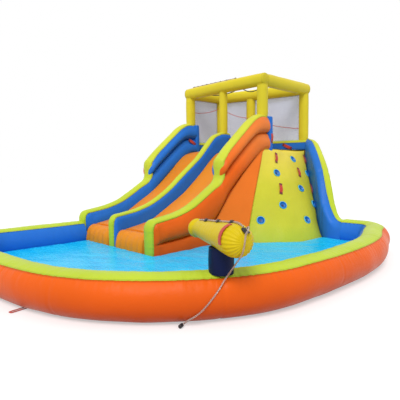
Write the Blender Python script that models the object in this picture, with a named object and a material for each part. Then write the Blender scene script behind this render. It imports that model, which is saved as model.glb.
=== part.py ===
# Inflatable water slide: two lanes, a climbing face, a canopy, a wading pool and a water cannon.
# Metres, +Z up. X runs from the left lane to the climbing face and -Y runs down the lanes.
# Every point below is written from the middle of the tower's front; the last step moves the
# origin back to the middle of the tower's footprint.

import math

import bpy
import bmesh
from mathutils import Vector
from mathutils.bvhtree import BVHTree

# Clearances
GAP = 0.0003               # air between neighbouring pieces
CUT_OVERRUN = 0.05         # how far a cutter reaches past the face it enters

# Slide and tower, the driving sizes
ORIGIN_SETBACK = 0.45      # from the tower's front to the origin
SLIDE_RUN = 2.228          # tower front to the ends of the slide walls
PLATFORM_HEIGHT = 1.39
PLATFORM_DEPTH = 0.10      # level start of the lanes, in front of the tower
WALL_CENTRE = 0.808        # middle of an outer slide wall, and of its post, from the middle wall
WALL_THICK = 0.229
MIDDLE_THICK = 0.159
TRIM_THICK = 0.03          # lime strip along the walls' tops
WALL_END_HEIGHT = 0.50
MIDDLE_TOP = 1.69
GUARD_TOP = 1.906
GUARD_RUN = 1.0            # how far the raised guards come down the walls
END_BLOCK_DEPTH = 0.08     # blue end of a guard beside its post

# Tower plan and bumper
TOWER_RIGHT = 0.758
TOWER_CORNER_RIGHT = 0.90
TOWER_CORNER_FRONT = 1.06
TOWER_BACK_RIGHT = 1.30    # the back wall is slanted in plan
TOWER_BACK_LEFT = 0.87
BUMPER_TOP = 1.58
BUMPER_THICK = 0.20

# Canopy
CANOPY_TOP = 2.54
BEAM_HEIGHT = 0.19
BEAM_WIDTH = 0.18
POST_RIGHT_WIDTH = 0.18
POST_LEFT_WIDTH = 0.16
POST_MIDDLE_WIDTH = 0.15
POST_BACK_WIDTH = 0.16
POST_BACK_INSET = 0.10     # back posts' middles from the tower's slanted back
MIDDLE_BACK_X = -0.172
TUBE_CORNER_SHARE = 0.34   # corner radius of posts and beams, of their width

# Window nets
NET_THICK = 0.006
NET_STRAND = 0.014
NET_COLUMNS = 6
NET_ROWS = 9
NET_SETBACK = 0.02         # nets lie this far outside their posts' middles
WINDOW_CORD_RADIUS = 0.005
WINDOW_CORD_SAG = 0.04
WINDOW_CORD_TILT_SHARE = 0.35                    # room for its slanted ends, of its radius
WINDOW_CORD_HEIGHTS = (2.12, 2.25, 2.02, 1.78)   # at the four posts that hold it

# Climbing face
CLIMB_BULGE = 0.05
CLIMB_SIDE_GAP = 0.018     # crease between the climbing face and its side wall
CLIMB_OUT_SHARES = (0.87, -0.49)   # way the face looks, of a unit length
SIDE_PANEL_THICK = 0.03
HOLD_RADIUS = 0.058
HOLD_FLOOR_SHARE = 0.6     # radius of a foothold's floor, of its rim's
HOLD_DEPTH = 0.022
HANDLE_LENGTH = 0.18
HANDLE_WIDE = 0.048
HANDLE_THICK = 0.004
HANDLE_ARCH = 0.003        # the webbing lies slack on the wall
HANDLE_SEAT = 0.0006

# Climbing face's side wall
SIDE_WALL_TOP = 1.60
SIDE_WALL_HALF = 0.11
SIDE_WALL_OUTER = 0.058    # its outer half is thinner, up to where it settles into the pool wall
SIDE_WALL_SETTLE_SHARE = 0.8
SIDE_WALL_END_X = 1.98
SIDE_WALL_END_Y = 0.40
SIDE_WALL_TRIM_SHARES = (0.2, 0.85)    # its lime strip's inner and outer foot, of the halves below
SIDE_WALL_CROWN_SHARE = 0.6
SIDE_WALL_SEAM = 0.0012    # under its lime strip, which twists with the wall
SIDE_WALL_STEPS = 30
SIDE_WALL_TURN_SHARE = 0.12

# Pool
POOL_TUBE_RADIUS = 0.18
POOL_TRIM_HALF = 0.104
POOL_FOOT_HALF = 0.04
POOL_WIDE = 2.818          # from the middle wall to the pool wall's rightmost middle line
POOL_REACH = 3.84          # from the tower's front to the pool wall's foremost middle line
POOL_FLOOR_THICK = 0.105
POOL_STATIONS = 52

# Spray line on the canopy's front beam
SPRAY_HOSE_RADIUS = 0.008
SPRAY_START_X = -0.732
SPRAY_END_X = 0.288
NOZZLE_RADIUS = 0.028
NOZZLE_LENGTH = 0.07
NOZZLE_DROP = 0.06
NOZZLE_PLACES_X = (-0.50, 0.28)
FEED_RADIUS = 0.007
FEED_SAGS = (0.06, 0.09)

# Water cannon
CANNON_PIVOT_SHARES = (0.9232, -0.7484)   # on the pool wall, of POOL_WIDE and POOL_REACH
CANNON_HEIGHT = 0.625
CANNON_HEADING = math.radians(161.0)   # from +X to the muzzle, seen from above
CANNON_REAR = 0.334        # pivot to the rear end
CANNON_FRONT = 0.435       # pivot to the muzzle
CANNON_REAR_RADIUS = 0.117
CANNON_NECK_RADIUS = 0.066
CANNON_MOUTH_RADIUS = 0.078
CANNON_CAP_DEPTH = 0.115
CANNON_CAP_SHARE = 0.92    # how far round the cap curves before its flat end
CANNON_TAPER_SHARE = 0.9   # where the taper ends in the neck, of the barrel's length
CANNON_MOUTH_SHARES = (0.96, 0.9)      # where the mouth's rim starts, and its end's radius
CANNON_STUB_SHARES = (0.5, 0.6)        # how low the nozzle sits in the mouth, and its tip's radius
CANNON_HOSE_SHARE = 0.84   # where the clear hose ends, of the pivot to the muzzle
CANNON_SIDES = 16
CANNON_POST_WIDE = 0.17
CANNON_HOSE_RADIUS = 0.008
VALVE_SIZE = 0.05
VALVE_THICK = 0.018
VALVE_TIP_SHARE = 0.30     # radius of the valve's spout, of its back's
VALVE_HEIGHT = 0.0765      # up the rounded cap, from the cannon's middle line
VALVE_ASIDE = 0.016
GRIP_WIDE = 0.026          # red strap round the cannon
GRIP_TOP = math.radians(72)
GRIP_SWEEP = math.radians(92)
NOZZLE_STUB_RADIUS = 0.014
NOZZLE_STUB_LENGTH = 0.03

# Supply hose, from the cannon's valve to a connector on the ground
HOSE_RADIUS = 0.006
CONNECTOR_RADIUS = 0.014
CONNECTOR_LENGTH = 0.045

# Anchor loop and inflation sleeve
LOOP_WIDE = 0.05
LOOP_LENGTH = 0.14
LOOP_THICK = 0.006
LOOP_STRAND = 0.016
LOOP_ROOT_SHARE = 2.1      # where it starts beyond the wall's foot, of its thickness
ANCHOR_SHARE = 0.60        # how far round the pool wall the loop sits
SLEEVE_RADIUS = 0.10
SLEEVE_LENGTH = 0.42
SLEEVE_X = -0.35
SLEEVE_CORNER_SHARE = 0.45
SLEEVE_SHARES = ((0.0, 1.0), (0.5, 0.92), (0.8, 0.82), (0.9, 0.70), (1.0, 0.86))   # along it, and its size

# Outlines as shares, chosen by hand: (distance down the slide, height)
# Lane surface, of SLIDE_RUN and PLATFORM_HEIGHT
LANE_SHARES = ((0.0, 1.0), (0.07, 0.99), (0.135, 0.957), (0.21, 0.865), (0.283, 0.755), (0.431, 0.561),
               (0.566, 0.432), (0.651, 0.353), (0.732, 0.288), (0.808, 0.259), (0.92, 0.230))
LANDING_SHARES = ((0.922, 0.229), (0.955, 0.222), (0.985, 0.190), (0.997, 0.150), (0.999, 0.0))
# Low part of an outer wall from its end up to the guard, of SLIDE_RUN and WALL_END_HEIGHT
WALL_LOW_SHARES = ((1.0, 0.0), (1.0, 0.88), (0.974, 1.0), (0.916, 1.04), (0.808, 1.12), (0.687, 1.30),
                   (0.561, 1.62))
# Guard, of GUARD_RUN and GUARD_TOP
GUARD_SHARES = ((1.025, 0.502), (1.035, 0.636), (0.97, 0.668), (0.83, 0.737), (0.60, 0.838), (0.38, 0.931),
                (0.25, 0.975), (0.12, 1.0))
# Middle wall above its low end, of SLIDE_RUN and MIDDLE_TOP
MIDDLE_SHARES = ((0.426, 0.615), (0.283, 0.757), (0.130, 0.953), (0.075, 0.985), (0.036, 1.0))
# Seam between an outer wall's tubes and the panel below them, of SLIDE_RUN and PLATFORM_HEIGHT
SEAM_SHARES = ((0.943, 0.158), (0.673, 0.194), (0.561, 0.259), (0.489, 0.360), (0.395, 0.547),
               (0.251, 0.748), (0.072, 0.950))
# Side panel's edge on the wall, of SLIDE_RUN, at the climbing face's levels
PANEL_EDGE_SHARES = (0.597, 0.583, 0.548, 0.462, 0.372, 0.266, 0.145, 0.070)
CLIMB_LEVEL_SHARES = (0.0, 0.10, 0.25, 0.42, 0.58, 0.74, 0.90, 1.0)
# Climbing face's foot and top edge in plan, of SIDE_WALL_END_X across and PLATFORM_HEIGHT along
CLIMB_FOOT_SHARES = ((0.581, -0.607), (0.707, -0.440), (0.818, -0.285), (0.889, -0.050))
CLIMB_TOP_SHARES = ((0.470, -0.105), (0.4735, 0.100), (0.452, 0.280), (0.444, 0.510))
CLIMB_EDGE_SHARE = 0.80    # where the face's foot meets the side wall, of the side wall's length
CLIMB_CREST_SHARE = 0.05   # where its top edge meets it
CLIMB_REST_SHARES = (0.88, 0.75, 0.6, 0.45, 0.3, 0.12)   # behind the face, from that edge to the tower
POOL_CORNER_SHARES = (0.84, 0.88, 0.92, 0.96, 1.0)       # pool floor's edge along the side wall
CLIMB_FACE_STEPS = 8
# A strap's stations along its length, and how far each stands off, of its arch
STRAP_PLACE_SHARES = (0.0, 0.16, 0.34, 0.5, 0.66, 0.84, 1.0)
STRAP_LIFT_SHARES = (0.0, 0.1, 0.8, 1.0, 0.8, 0.1, 0.0)
# Footholds and handles on the climbing face: (share across, share of its height)
HOLD_SHARES = ((0.66, 0.89), (0.30, 0.74), (0.93, 0.72), (0.68, 0.565), (0.39, 0.41), (0.90, 0.39),
               (0.12, 0.27), (0.68, 0.25))
CLIMB_HANDLE_SHARES = ((0.28, 0.90), (0.93, 0.885), (0.70, 0.735), (0.36, 0.57), (0.93, 0.55))
# Side wall in plan, of SIDE_WALL_END_X and TOWER_BACK_RIGHT, and its height at each share of length
SIDE_WALL_PATH_SHARES = ((0.4547, 0.923), (0.606, 0.715), (0.758, 0.508), (0.879, 0.354))
SIDE_WALL_HEIGHT_SHARES = ((0.0, 1.0), (0.2, 0.95), (0.4, 0.79), (0.59, 0.575), (0.70, 0.42), (0.82, 0.275),
                           (0.905, 0.225), (1.0, 0.225))
# Pool wall's middle line, of POOL_WIDE and POOL_REACH, from its back end round to the left wall
POOL_PATH_SHARES = ((0.80, 0.106), (0.845, 0.088), (0.880, 0.045), (0.903, -0.010), (0.969, -0.148),
                    (0.997, -0.286), (1.0, -0.417), (0.993, -0.521), (0.976, -0.625), (0.932, -0.717),
                    (0.859, -0.800), (0.774, -0.867), (0.674, -0.922), (0.575, -0.956), (0.479, -0.977),
                    (0.373, -0.990), (0.248, -0.998), (0.106, -1.0), (-0.035, -0.996), (-0.160, -0.982),
                    (-0.255, -0.950), (-0.297, -0.885), (-0.294, -0.800), (-0.288, -0.700))
# Supply hose's points after the valve: down past the cap, over the pool wall and to the ground
HOSE_POINTS = ((2.933, -2.967, 0.732), (2.943, -2.975, 0.733), (2.948, -2.984, 0.724), (2.947, -2.992, 0.710),
               (2.941, -2.998, 0.696), (2.937, -3.000, 0.682), (2.935, -3.001, 0.665), (2.932, -3.002, 0.639),
               (2.928, -3.004, 0.612), (2.921, -3.003, 0.585), (2.908, -2.999, 0.558), (2.887, -2.991, 0.532),
               (2.861, -2.980, 0.507), (2.833, -2.969, 0.480), (2.803, -2.957, 0.451), (2.772, -2.947, 0.419),
               (2.740, -2.936, 0.386), (2.708, -2.926, 0.353), (2.690, -2.941, 0.318), (2.6885, -2.977, 0.281),
               (2.6835, -3.010, 0.246), (2.671, -3.044, 0.207), (2.651, -3.078, 0.162), (2.621, -3.107, 0.118),
               (2.586, -3.129, 0.083), (2.552, -3.143, 0.058), (2.522, -3.151, 0.036), (2.506, -3.155, 0.022),
               (2.499, -3.163, 0.0165), (2.503, -3.174, 0.016))

# Colours, roughness
FINISHES = {
    "orange": ((0.900, 0.133, 0.012, 1.0), 0.42),
    "lane_orange": ((0.870, 0.330, 0.055, 1.0), 0.42),
    "blue": ((0.020, 0.132, 0.558, 1.0), 0.42),
    "lime": ((0.520, 0.680, 0.042, 1.0), 0.42),
    "yellow": ((0.760, 0.630, 0.030, 1.0), 0.42),
    "climb_yellow": ((0.560, 0.560, 0.050, 1.0), 0.45),
    "floor_blue": ((0.052, 0.560, 0.880, 1.0), 0.38),
    "navy": ((0.006, 0.014, 0.075, 1.0), 0.50),
    "webbing_red": ((0.520, 0.040, 0.014, 1.0), 0.65),
    "net_grey": ((0.440, 0.460, 0.540, 1.0), 0.70),
    "black": ((0.012, 0.012, 0.014, 1.0), 0.45),
    "clear_hose": ((0.720, 0.600, 0.580, 1.0), 0.20),
}


# Helpers for points

def flat(x, y):
    return Vector((x, y, 0.0))


def along(points, share):
    # Catmull-Rom curve through the points, at a share of its parameter.
    spans = len(points) - 1
    place = min(max(share, 0.0), 1.0) * spans
    index = min(int(place), spans - 1)
    t = place - index
    here, after = points[index], points[index + 1]
    before = points[index - 1] if index else here * 2 - after
    beyond = points[index + 2] if index + 2 <= spans else after * 2 - here
    return (here * 2 + (after - before) * t + (before * 2 - here * 5 + after * 4 - beyond) * t * t
            + (here * 3 - before - after * 3 + beyond) * t ** 3) * 0.5


def smooth(points, count):
    return [along(points, i / (count - 1)) for i in range(count)]


def right_normals(path, first, last):
    # Unit vectors to the right of the way along a flat path, with both ends given.
    normals = [first]
    for i in range(1, len(path) - 1):
        way = (path[i + 1] - path[i - 1]).normalized()
        normals.append(Vector((way.y, -way.x, 0.0)))
    return normals + [last]


def offset_line(points, distance):
    # The same open outline moved to its left by the distance, with mitred corners.
    moved = []
    for i, point in enumerate(points):
        ways = []
        if i:
            ways.append((Vector(point) - Vector(points[i - 1])).normalized())
        if i < len(points) - 1:
            ways.append((Vector(points[i + 1]) - Vector(point)).normalized())
        normals = [Vector((-way.y, way.x)) for way in ways]
        mean = sum(normals, Vector((0.0, 0.0))).normalized()
        moved.append(tuple(Vector(point) + mean * (distance / mean.dot(normals[0]))))
    return moved


def add_sweep(bm, points, radii, sides):
    # A round body along a line that is never upright, with its own radius at each point.
    sections = []
    for i, (point, radius) in enumerate(zip(points, radii)):
        way = points[min(i + 1, len(points) - 1)] - points[max(i - 1, 0)]
        across = way.cross(Vector((0, 0, 1))).normalized()
        up = across.cross(way).normalized()
        sections.append([point + across * (radius * math.cos(2 * math.pi * k / sides))
                         + up * (radius * math.sin(2 * math.pi * k / sides)) for k in range(sides)])
    add_loft(bm, sections)


def rounded(width, height, share=TUBE_CORNER_SHARE, steps=2):
    # Rounded rectangle about zero, as (across, up) points.
    radius = share * min(width, height)
    points = []
    for quarter in range(4):
        sign_a = 1 if quarter in (0, 3) else -1
        sign_b = 1 if quarter in (0, 1) else -1
        for step in range(steps + 1):
            angle = (quarter + step / steps) * math.pi / 2
            points.append((sign_a * (width / 2 - radius) + radius * math.cos(angle),
                           sign_b * (height / 2 - radius) + radius * math.sin(angle)))
    return points


# Helpers for meshes

def add_loft(bm, sections, split=0):
    # A closed body through sections of equal point counts, with filled ends. split cuts each
    # side into two triangles one way or the other, so that twisted neighbours match.
    rings = [[bm.verts.new(point) for point in section] for section in sections]
    count = len(rings[0])
    faces = [bm.faces.new(rings[0]), bm.faces.new(rings[-1])]
    for ring, after in zip(rings, rings[1:]):
        for i in range(count):
            k = (i + 1) % count
            near, far = (i, k) if split >= 0 else (k, i)
            if split:
                faces.append(bm.faces.new((ring[near], ring[far], after[far])))
                faces.append(bm.faces.new((ring[near], after[far], after[near])))
            else:
                faces.append(bm.faces.new((ring[i], ring[k], after[k], after[i])))
    bmesh.ops.recalc_face_normals(bm, faces=faces)
    return faces


def add_prism_x(bm, outline, start, end):
    add_loft(bm, [[(x, y, z) for y, z in outline] for x in (start, end)])


def add_prism_z(bm, outline, start, end):
    add_loft(bm, [[(x, y, z) for x, y in outline] for z in (start, end)])


def add_round(bm, start, end, radii, sides, stations=None):
    # A turned body from start to end, with one radius per station.
    axis = (end - start).normalized()
    across = axis.cross(Vector((0, 0, 1)))
    if across.length < 0.5:
        across = Vector((1, 0, 0))
    across.normalize()
    up = across.cross(axis)
    places = stations or [i / (len(radii) - 1) for i in range(len(radii))]
    sections = []
    for place, radius in zip(places, radii):
        centre = start.lerp(end, place)
        sections.append([centre + across * (radius * math.cos(2 * math.pi * k / sides))
                         + up * (radius * math.sin(2 * math.pi * k / sides)) for k in range(sides)])
    add_loft(bm, sections)


def strap(name, feet, out):
    # Webbing sewn down at both ends, standing a little off the wall between them.
    side = (feet[-1] - feet[0]).cross(out).normalized() * (HANDLE_WIDE / 2)
    sections = []
    for point, lift in zip(feet, STRAP_LIFT_SHARES):
        foot = point + out * (HANDLE_SEAT + HANDLE_ARCH * lift)
        top = foot + out * HANDLE_THICK
        sections.append([foot - side, foot + side, top + side, top - side])
    bm = bmesh.new()
    add_loft(bm, sections)
    piece(name, bm, "webbing_red")


def straight_strap(name, centre, way, out):
    reach = way.normalized() * (HANDLE_LENGTH / 2)
    strap(name, [centre + reach * (2 * share - 1) for share in STRAP_PLACE_SHARES], out)


def add_lattice(bm, corner, across, up, out, columns, rows, strand, thick):
    # A flat net in a rectangle, as one body: strands round columns by rows of gaps.
    def lines(length, cells):
        pitch = (length - strand) / cells
        return [value for i in range(cells + 1) for value in (i * pitch, i * pitch + strand)]
    us = lines(across.length, columns)
    vs = lines(up.length, rows)
    u_way, v_way = across.normalized(), up.normalized()
    layers = [[[bm.verts.new(corner + u_way * u + v_way * v + out * lift) for v in vs] for u in us]
              for lift in (0.0, thick)]
    faces = []

    def is_gap(i, k):
        inside = 0 <= i < len(us) - 1 and 0 <= k < len(vs) - 1
        return not inside or (i % 2 == 1 and k % 2 == 1)
    for i in range(len(us) - 1):
        for k in range(len(vs) - 1):
            if is_gap(i, k):
                continue
            for layer in layers:
                faces.append(bm.faces.new((layer[i][k], layer[i + 1][k], layer[i + 1][k + 1], layer[i][k + 1])))
            edges = (((i, k), (i + 1, k), (i, k - 1)), ((i + 1, k), (i + 1, k + 1), (i + 1, k)),
                     ((i + 1, k + 1), (i, k + 1), (i, k + 1)), ((i, k + 1), (i, k), (i - 1, k)))
            for (a, b), (c, d), beyond in edges:
                if is_gap(*beyond):
                    faces.append(bm.faces.new((layers[0][a][b], layers[0][c][d],
                                               layers[1][c][d], layers[1][a][b])))
    bmesh.ops.recalc_face_normals(bm, faces=faces)


def material(name):
    if name in bpy.data.materials:
        return bpy.data.materials[name]
    colour, roughness = FINISHES[name]
    made = bpy.data.materials.new(name)
    made.use_nodes = True
    shader = made.node_tree.nodes["Principled BSDF"]
    shader.inputs["Base Color"].default_value = colour
    shader.inputs["Roughness"].default_value = roughness
    shader.inputs["Metallic"].default_value = 0.0
    made.diffuse_color = colour
    return made


def piece(name, bm, finish, is_round=False):
    mesh = bpy.data.meshes.new(name)
    bm.to_mesh(mesh)
    bm.free()
    mesh.materials.append(material(finish))
    if is_round:
        mesh.shade_smooth()
        mesh.set_sharp_from_angle(angle=math.radians(40))
    made = bpy.data.objects.new(name, mesh)
    bpy.context.collection.objects.link(made)
    return made


def tube_curve(name, points, radius, finish):
    curve = bpy.data.curves.new(name, "CURVE")
    curve.dimensions = "3D"
    curve.bevel_depth = radius
    curve.bevel_resolution = 2
    curve.use_fill_caps = True
    spline = curve.splines.new("POLY")
    spline.points.add(len(points) - 1)
    for target, point in zip(spline.points, points):
        target.co = (*point, 1.0)
    curve.materials.append(material(finish))
    made = bpy.data.objects.new(name, curve)
    bpy.context.collection.objects.link(made)
    return made


# Outlines of the slide in the (y, z) plane

def down_slide(shares, run, height):
    return [(-a * run, b * height) for a, b in shares]


def wall_outline():
    # Top line of an outer wall, from the foot of its end up to the tower.
    low = down_slide(WALL_LOW_SHARES, SLIDE_RUN, WALL_END_HEIGHT)
    guard = down_slide(GUARD_SHARES, GUARD_RUN, GUARD_TOP)
    return low + guard + [(PLATFORM_DEPTH, GUARD_TOP)]


def middle_outline():
    low = down_slide(WALL_LOW_SHARES, SLIDE_RUN, WALL_END_HEIGHT)
    high = down_slide(MIDDLE_SHARES, SLIDE_RUN, MIDDLE_TOP)
    return low + high + [(PLATFORM_DEPTH, MIDDLE_TOP)]


def seam_outline():
    front = -SLIDE_RUN + TRIM_THICK + GAP
    seam = down_slide(SEAM_SHARES, SLIDE_RUN, PLATFORM_HEIGHT)
    return [(front, seam[0][1])] + seam + [(PLATFORM_DEPTH, seam[-1][1])]


def trim_strip(top):
    # Lime strip: the outline and the same outline moved inwards.
    inner = offset_line(top, -TRIM_THICK)
    inner[0] = (inner[0][0], 0.0)
    inner[-1] = (top[-1][0], inner[-1][1])
    return top + inner[::-1]


def under_trim(top):
    inner = offset_line(top, -TRIM_THICK - GAP)
    inner[-1] = (top[-1][0], inner[-1][1])
    return inner


def cut_line(points, y):
    # An outline that runs towards +Y, cut off at y.
    kept = []
    for a, b in zip(points, points[1:]):
        kept.append(a)
        if a[0] < y <= b[0]:
            share = (y - a[0]) / (b[0] - a[0])
            return kept + [(y, a[1] + share * (b[1] - a[1]))]
    return kept + [points[-1]]


def add_stepped(bm, whole, rest, part, start, step, end):
    # The whole outline from start to step along X, and only its part from step to end.
    # rest and part make up the whole and share the points of the line between them.
    first = [bm.verts.new((start, *point)) for point in whole]
    middle = {point: bm.verts.new((step, *point)) for point in dict.fromkeys(list(rest) + list(part))}
    last = {point: bm.verts.new((end, *point)) for point in part}
    faces = [bm.faces.new(first), bm.faces.new([middle[point] for point in rest]),
             bm.faces.new([last[point] for point in part])]
    for i, point in enumerate(whole):
        k = (i + 1) % len(whole)
        faces.append(bm.faces.new((first[i], first[k], middle[whole[k]], middle[point])))
    for point, after in zip(part, list(part[1:]) + [part[0]]):
        faces.append(bm.faces.new((middle[point], middle[after], last[after], last[point])))
    bmesh.ops.recalc_face_normals(bm, faces=faces)


def outer_wall(side, sign):
    # The blue inner half with its end block, the orange outer half with the panel below it,
    # and the lime strip over both.
    inside = WALL_CENTRE - WALL_THICK / 2
    outside = WALL_CENTRE + WALL_THICK / 2
    seam = seam_outline()
    top = under_trim(wall_outline())
    block_start = PLATFORM_DEPTH - END_BLOCK_DEPTH

    upper_top = cut_line(top[1:], block_start)
    lifted = [(y, z + GAP) for y, z in seam]
    low_line = cut_line(lifted, block_start)
    rest = upper_top + low_line[::-1]
    block = [upper_top[-1], (PLATFORM_DEPTH, top[-1][1]), (PLATFORM_DEPTH, lifted[-1][1]), low_line[-1]]
    whole = upper_top + block[1:3] + low_line[::-1]
    bm = bmesh.new()
    add_stepped(bm, whole, rest, block, sign * inside, sign * (WALL_CENTRE - GAP), sign * outside)
    piece(side + "_wall_inner", bm, "blue")

    outer_top = cut_line(top[1:], block_start - GAP)
    seam_front = cut_line(seam, block_start - GAP)
    seam_rear = seam[len(seam_front) - 1:]
    rest = outer_top + seam_front[::-1]
    base = seam_front + seam_rear + [(PLATFORM_DEPTH, 0.0), (seam[0][0], 0.0)]
    whole = [seam[0]] + outer_top + [seam_front[-1]] + seam_rear + base[-2:]
    bm = bmesh.new()
    add_stepped(bm, whole, rest, base, sign * outside, sign * (WALL_CENTRE + GAP), sign * inside)
    piece(side + "_wall_outer", bm, "orange")

    bm = bmesh.new()
    add_prism_x(bm, trim_strip(wall_outline()), sign * inside, sign * outside)
    piece(side + "_wall_trim", bm, "lime")


def middle_wall():
    bm = bmesh.new()
    body = under_trim(middle_outline())
    body[0] = (body[0][0], 0.0)
    add_prism_x(bm, body + [(PLATFORM_DEPTH, 0.0)], -MIDDLE_THICK / 2, MIDDLE_THICK / 2)
    piece("middle_wall", bm, "blue")
    bm = bmesh.new()
    add_prism_x(bm, trim_strip(middle_outline()), -MIDDLE_THICK / 2, MIDDLE_THICK / 2)
    piece("middle_wall_trim", bm, "lime")


def lane(side, sign):
    start = sign * (MIDDLE_THICK / 2 + GAP)
    end = sign * (WALL_CENTRE - WALL_THICK / 2 - GAP)
    surface = down_slide(LANE_SHARES, SLIDE_RUN, PLATFORM_HEIGHT)
    outline = [(PLATFORM_DEPTH, PLATFORM_HEIGHT)] + surface + [(surface[-1][0], 0.0), (PLATFORM_DEPTH, 0.0)]
    bm = bmesh.new()
    add_prism_x(bm, outline, start, end)
    piece(side + "_lane", bm, "lane_orange")
    bolster = down_slide(LANDING_SHARES, SLIDE_RUN, PLATFORM_HEIGHT)
    bolster[0] = (surface[-1][0] - GAP, bolster[0][1])
    bm = bmesh.new()
    add_prism_x(bm, bolster + [(surface[-1][0] - GAP, 0.0)], start, end)
    piece(side + "_landing", bm, "lane_orange")


# Tower

def tower_left():
    return -(WALL_CENTRE + WALL_THICK / 2)


def back_line(x, inset=0.0):
    # The slanted back of the tower.
    slope = (TOWER_BACK_RIGHT - TOWER_BACK_LEFT) / (TOWER_CORNER_RIGHT - tower_left())
    return TOWER_BACK_LEFT + (x - tower_left()) * slope - inset


def tower_outline():
    front = PLATFORM_DEPTH + GAP
    left, right, corner = tower_left(), TOWER_RIGHT, TOWER_CORNER_RIGHT
    return [(left, front), (right, front), (right, TOWER_CORNER_FRONT), (corner, TOWER_CORNER_FRONT),
            (corner, TOWER_BACK_RIGHT), (left, TOWER_BACK_LEFT)]


def bumper_outline():
    front = PLATFORM_DEPTH + GAP
    left, corner = tower_left(), TOWER_CORNER_RIGHT
    inner_left = left + BUMPER_THICK
    return [(left, front), (inner_left, front), (inner_left, back_line(inner_left, BUMPER_THICK)),
            (corner, back_line(corner, BUMPER_THICK)), (corner, TOWER_BACK_RIGHT), (left, TOWER_BACK_LEFT)]


def tower():
    trim_bottom = BUMPER_TOP - TRIM_THICK
    for name, outline, low, high, finish in (
            ("tower_core", tower_outline(), 0.0, PLATFORM_HEIGHT, "orange"),
            ("bumper_wall", bumper_outline(), PLATFORM_HEIGHT + GAP, trim_bottom, "blue"),
            ("bumper_trim", bumper_outline(), trim_bottom + GAP, BUMPER_TOP, "lime")):
        bm = bmesh.new()
        add_prism_z(bm, outline, low, high)
        piece(name, bm, finish)


# Climbing face and its side wall

def side_wall_path():
    points = [flat(a * SIDE_WALL_END_X, b * TOWER_BACK_RIGHT) for a, b in SIDE_WALL_PATH_SHARES]
    points[0].x = TOWER_CORNER_RIGHT + GAP
    return points + [flat(SIDE_WALL_END_X, SIDE_WALL_END_Y)]


def side_wall_half(share):
    return SIDE_WALL_HALF + (POOL_TUBE_RADIUS - SIDE_WALL_HALF) * share


def settled(share, before, after):
    # A size that turns into the pool wall's over the side wall's last stretch.
    turn = max(0.0, (share - SIDE_WALL_SETTLE_SHARE) / (1 - SIDE_WALL_SETTLE_SHARE))
    return before + (after - before) * turn


def side_wall_normal(share):
    # Square to the path, turning square to X at both ends.
    path = side_wall_path()
    step = 0.01
    way = (along(path, share + step) - along(path, share - step)).normalized()
    turn = min(1.0, share / SIDE_WALL_TURN_SHARE, (1.0 - share) / SIDE_WALL_TURN_SHARE)
    return Vector((0, -1, 0)).lerp(Vector((way.y, -way.x, 0.0)), turn).normalized()


def side_wall_point(share, extra=0.0):
    # A point on the side wall's inner face.
    return along(side_wall_path(), share) + side_wall_normal(share) * (side_wall_half(share) + extra)


def side_wall_height(share):
    table = SIDE_WALL_HEIGHT_SHARES
    for (a, low), (b, high) in zip(table, table[1:]):
        if share <= b:
            return SIDE_WALL_TOP * (low + (high - low) * (share - a) / (b - a))
    return SIDE_WALL_TOP * table[-1][1]


def climb_side_wall():
    steps = SIDE_WALL_STEPS
    inner, outer, trim = [], [], []
    for i in range(steps + 1):
        share = i / steps
        point, normal = along(side_wall_path(), share), side_wall_normal(share)
        half = side_wall_half(share)
        outer_half = settled(share, SIDE_WALL_OUTER, POOL_TUBE_RADIUS)
        top = side_wall_height(share)
        shoulder = top - TRIM_THICK * 3
        inner_share, outer_share = SIDE_WALL_TRIM_SHARES
        ridge = settled(share, half * inner_share, POOL_TRIM_HALF)
        far_ridge = settled(share, outer_half * outer_share, POOL_TRIM_HALF)
        crown, far_crown = ridge * SIDE_WALL_CROWN_SHARE, far_ridge * SIDE_WALL_CROWN_SHARE

        def at(across, height):
            return point + normal * across + Vector((0, 0, height))
        low = top - TRIM_THICK - SIDE_WALL_SEAM
        inner.append([at(GAP, 0), at(half, 0), at(half, shoulder), at(ridge, low), at(GAP, low)])
        outer.append([at(-GAP, low), at(-far_ridge, low), at(-outer_half, shoulder), at(-outer_half, 0),
                      at(-GAP, 0)])
        base = top - TRIM_THICK
        trim.append([at(ridge, base), at(crown, top), at(-far_crown, top), at(-far_ridge, base),
                     at(-GAP, base), at(GAP, base)])
    for name, sections, finish, split in (("climb_wall_inner", inner, "blue", 1),
                                          ("climb_wall_outer", outer, "orange", 1),
                                          ("climb_wall_trim", trim, "lime", -1)):
        bm = bmesh.new()
        add_loft(bm, sections, split)
        piece(name, bm, finish)


def climb_edge(shares, end_share):
    points = [flat(a * SIDE_WALL_END_X, b * PLATFORM_HEIGHT) for a, b in shares]
    return points + [side_wall_point(end_share, CLIMB_SIDE_GAP)]


def climb_point(across, up):
    # A point of the crowned face: straight from foot to top edge, pushed out in the middle.
    foot = along(climb_edge(CLIMB_FOOT_SHARES, CLIMB_EDGE_SHARE), across)
    top = along(climb_edge(CLIMB_TOP_SHARES, CLIMB_CREST_SHARE), across)
    end = side_wall_point(CLIMB_EDGE_SHARE * (1 - up) + CLIMB_CREST_SHARE * up, CLIMB_SIDE_GAP)
    point = foot.lerp(top, up)
    point = point.lerp(end, across ** 4)
    bulge = CLIMB_BULGE * math.sin(math.pi * up) * math.sin(math.pi * across)
    return point + flat(*CLIMB_OUT_SHARES) * bulge + Vector((0, 0, up * PLATFORM_HEIGHT))


def climb_normal(across, up):
    step = 0.02
    sideways = climb_point(min(across + step, 1.0), up) - climb_point(across - step, up)
    upwards = climb_point(across, min(up + step, 1.0)) - climb_point(across, up - step)
    return sideways.cross(upwards).normalized()


def panel_edge(index):
    # Where the side panel meets the slide wall, at a level of the climbing face.
    return flat(WALL_CENTRE + WALL_THICK / 2 + GAP, -PANEL_EDGE_SHARES[index] * SLIDE_RUN)


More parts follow.
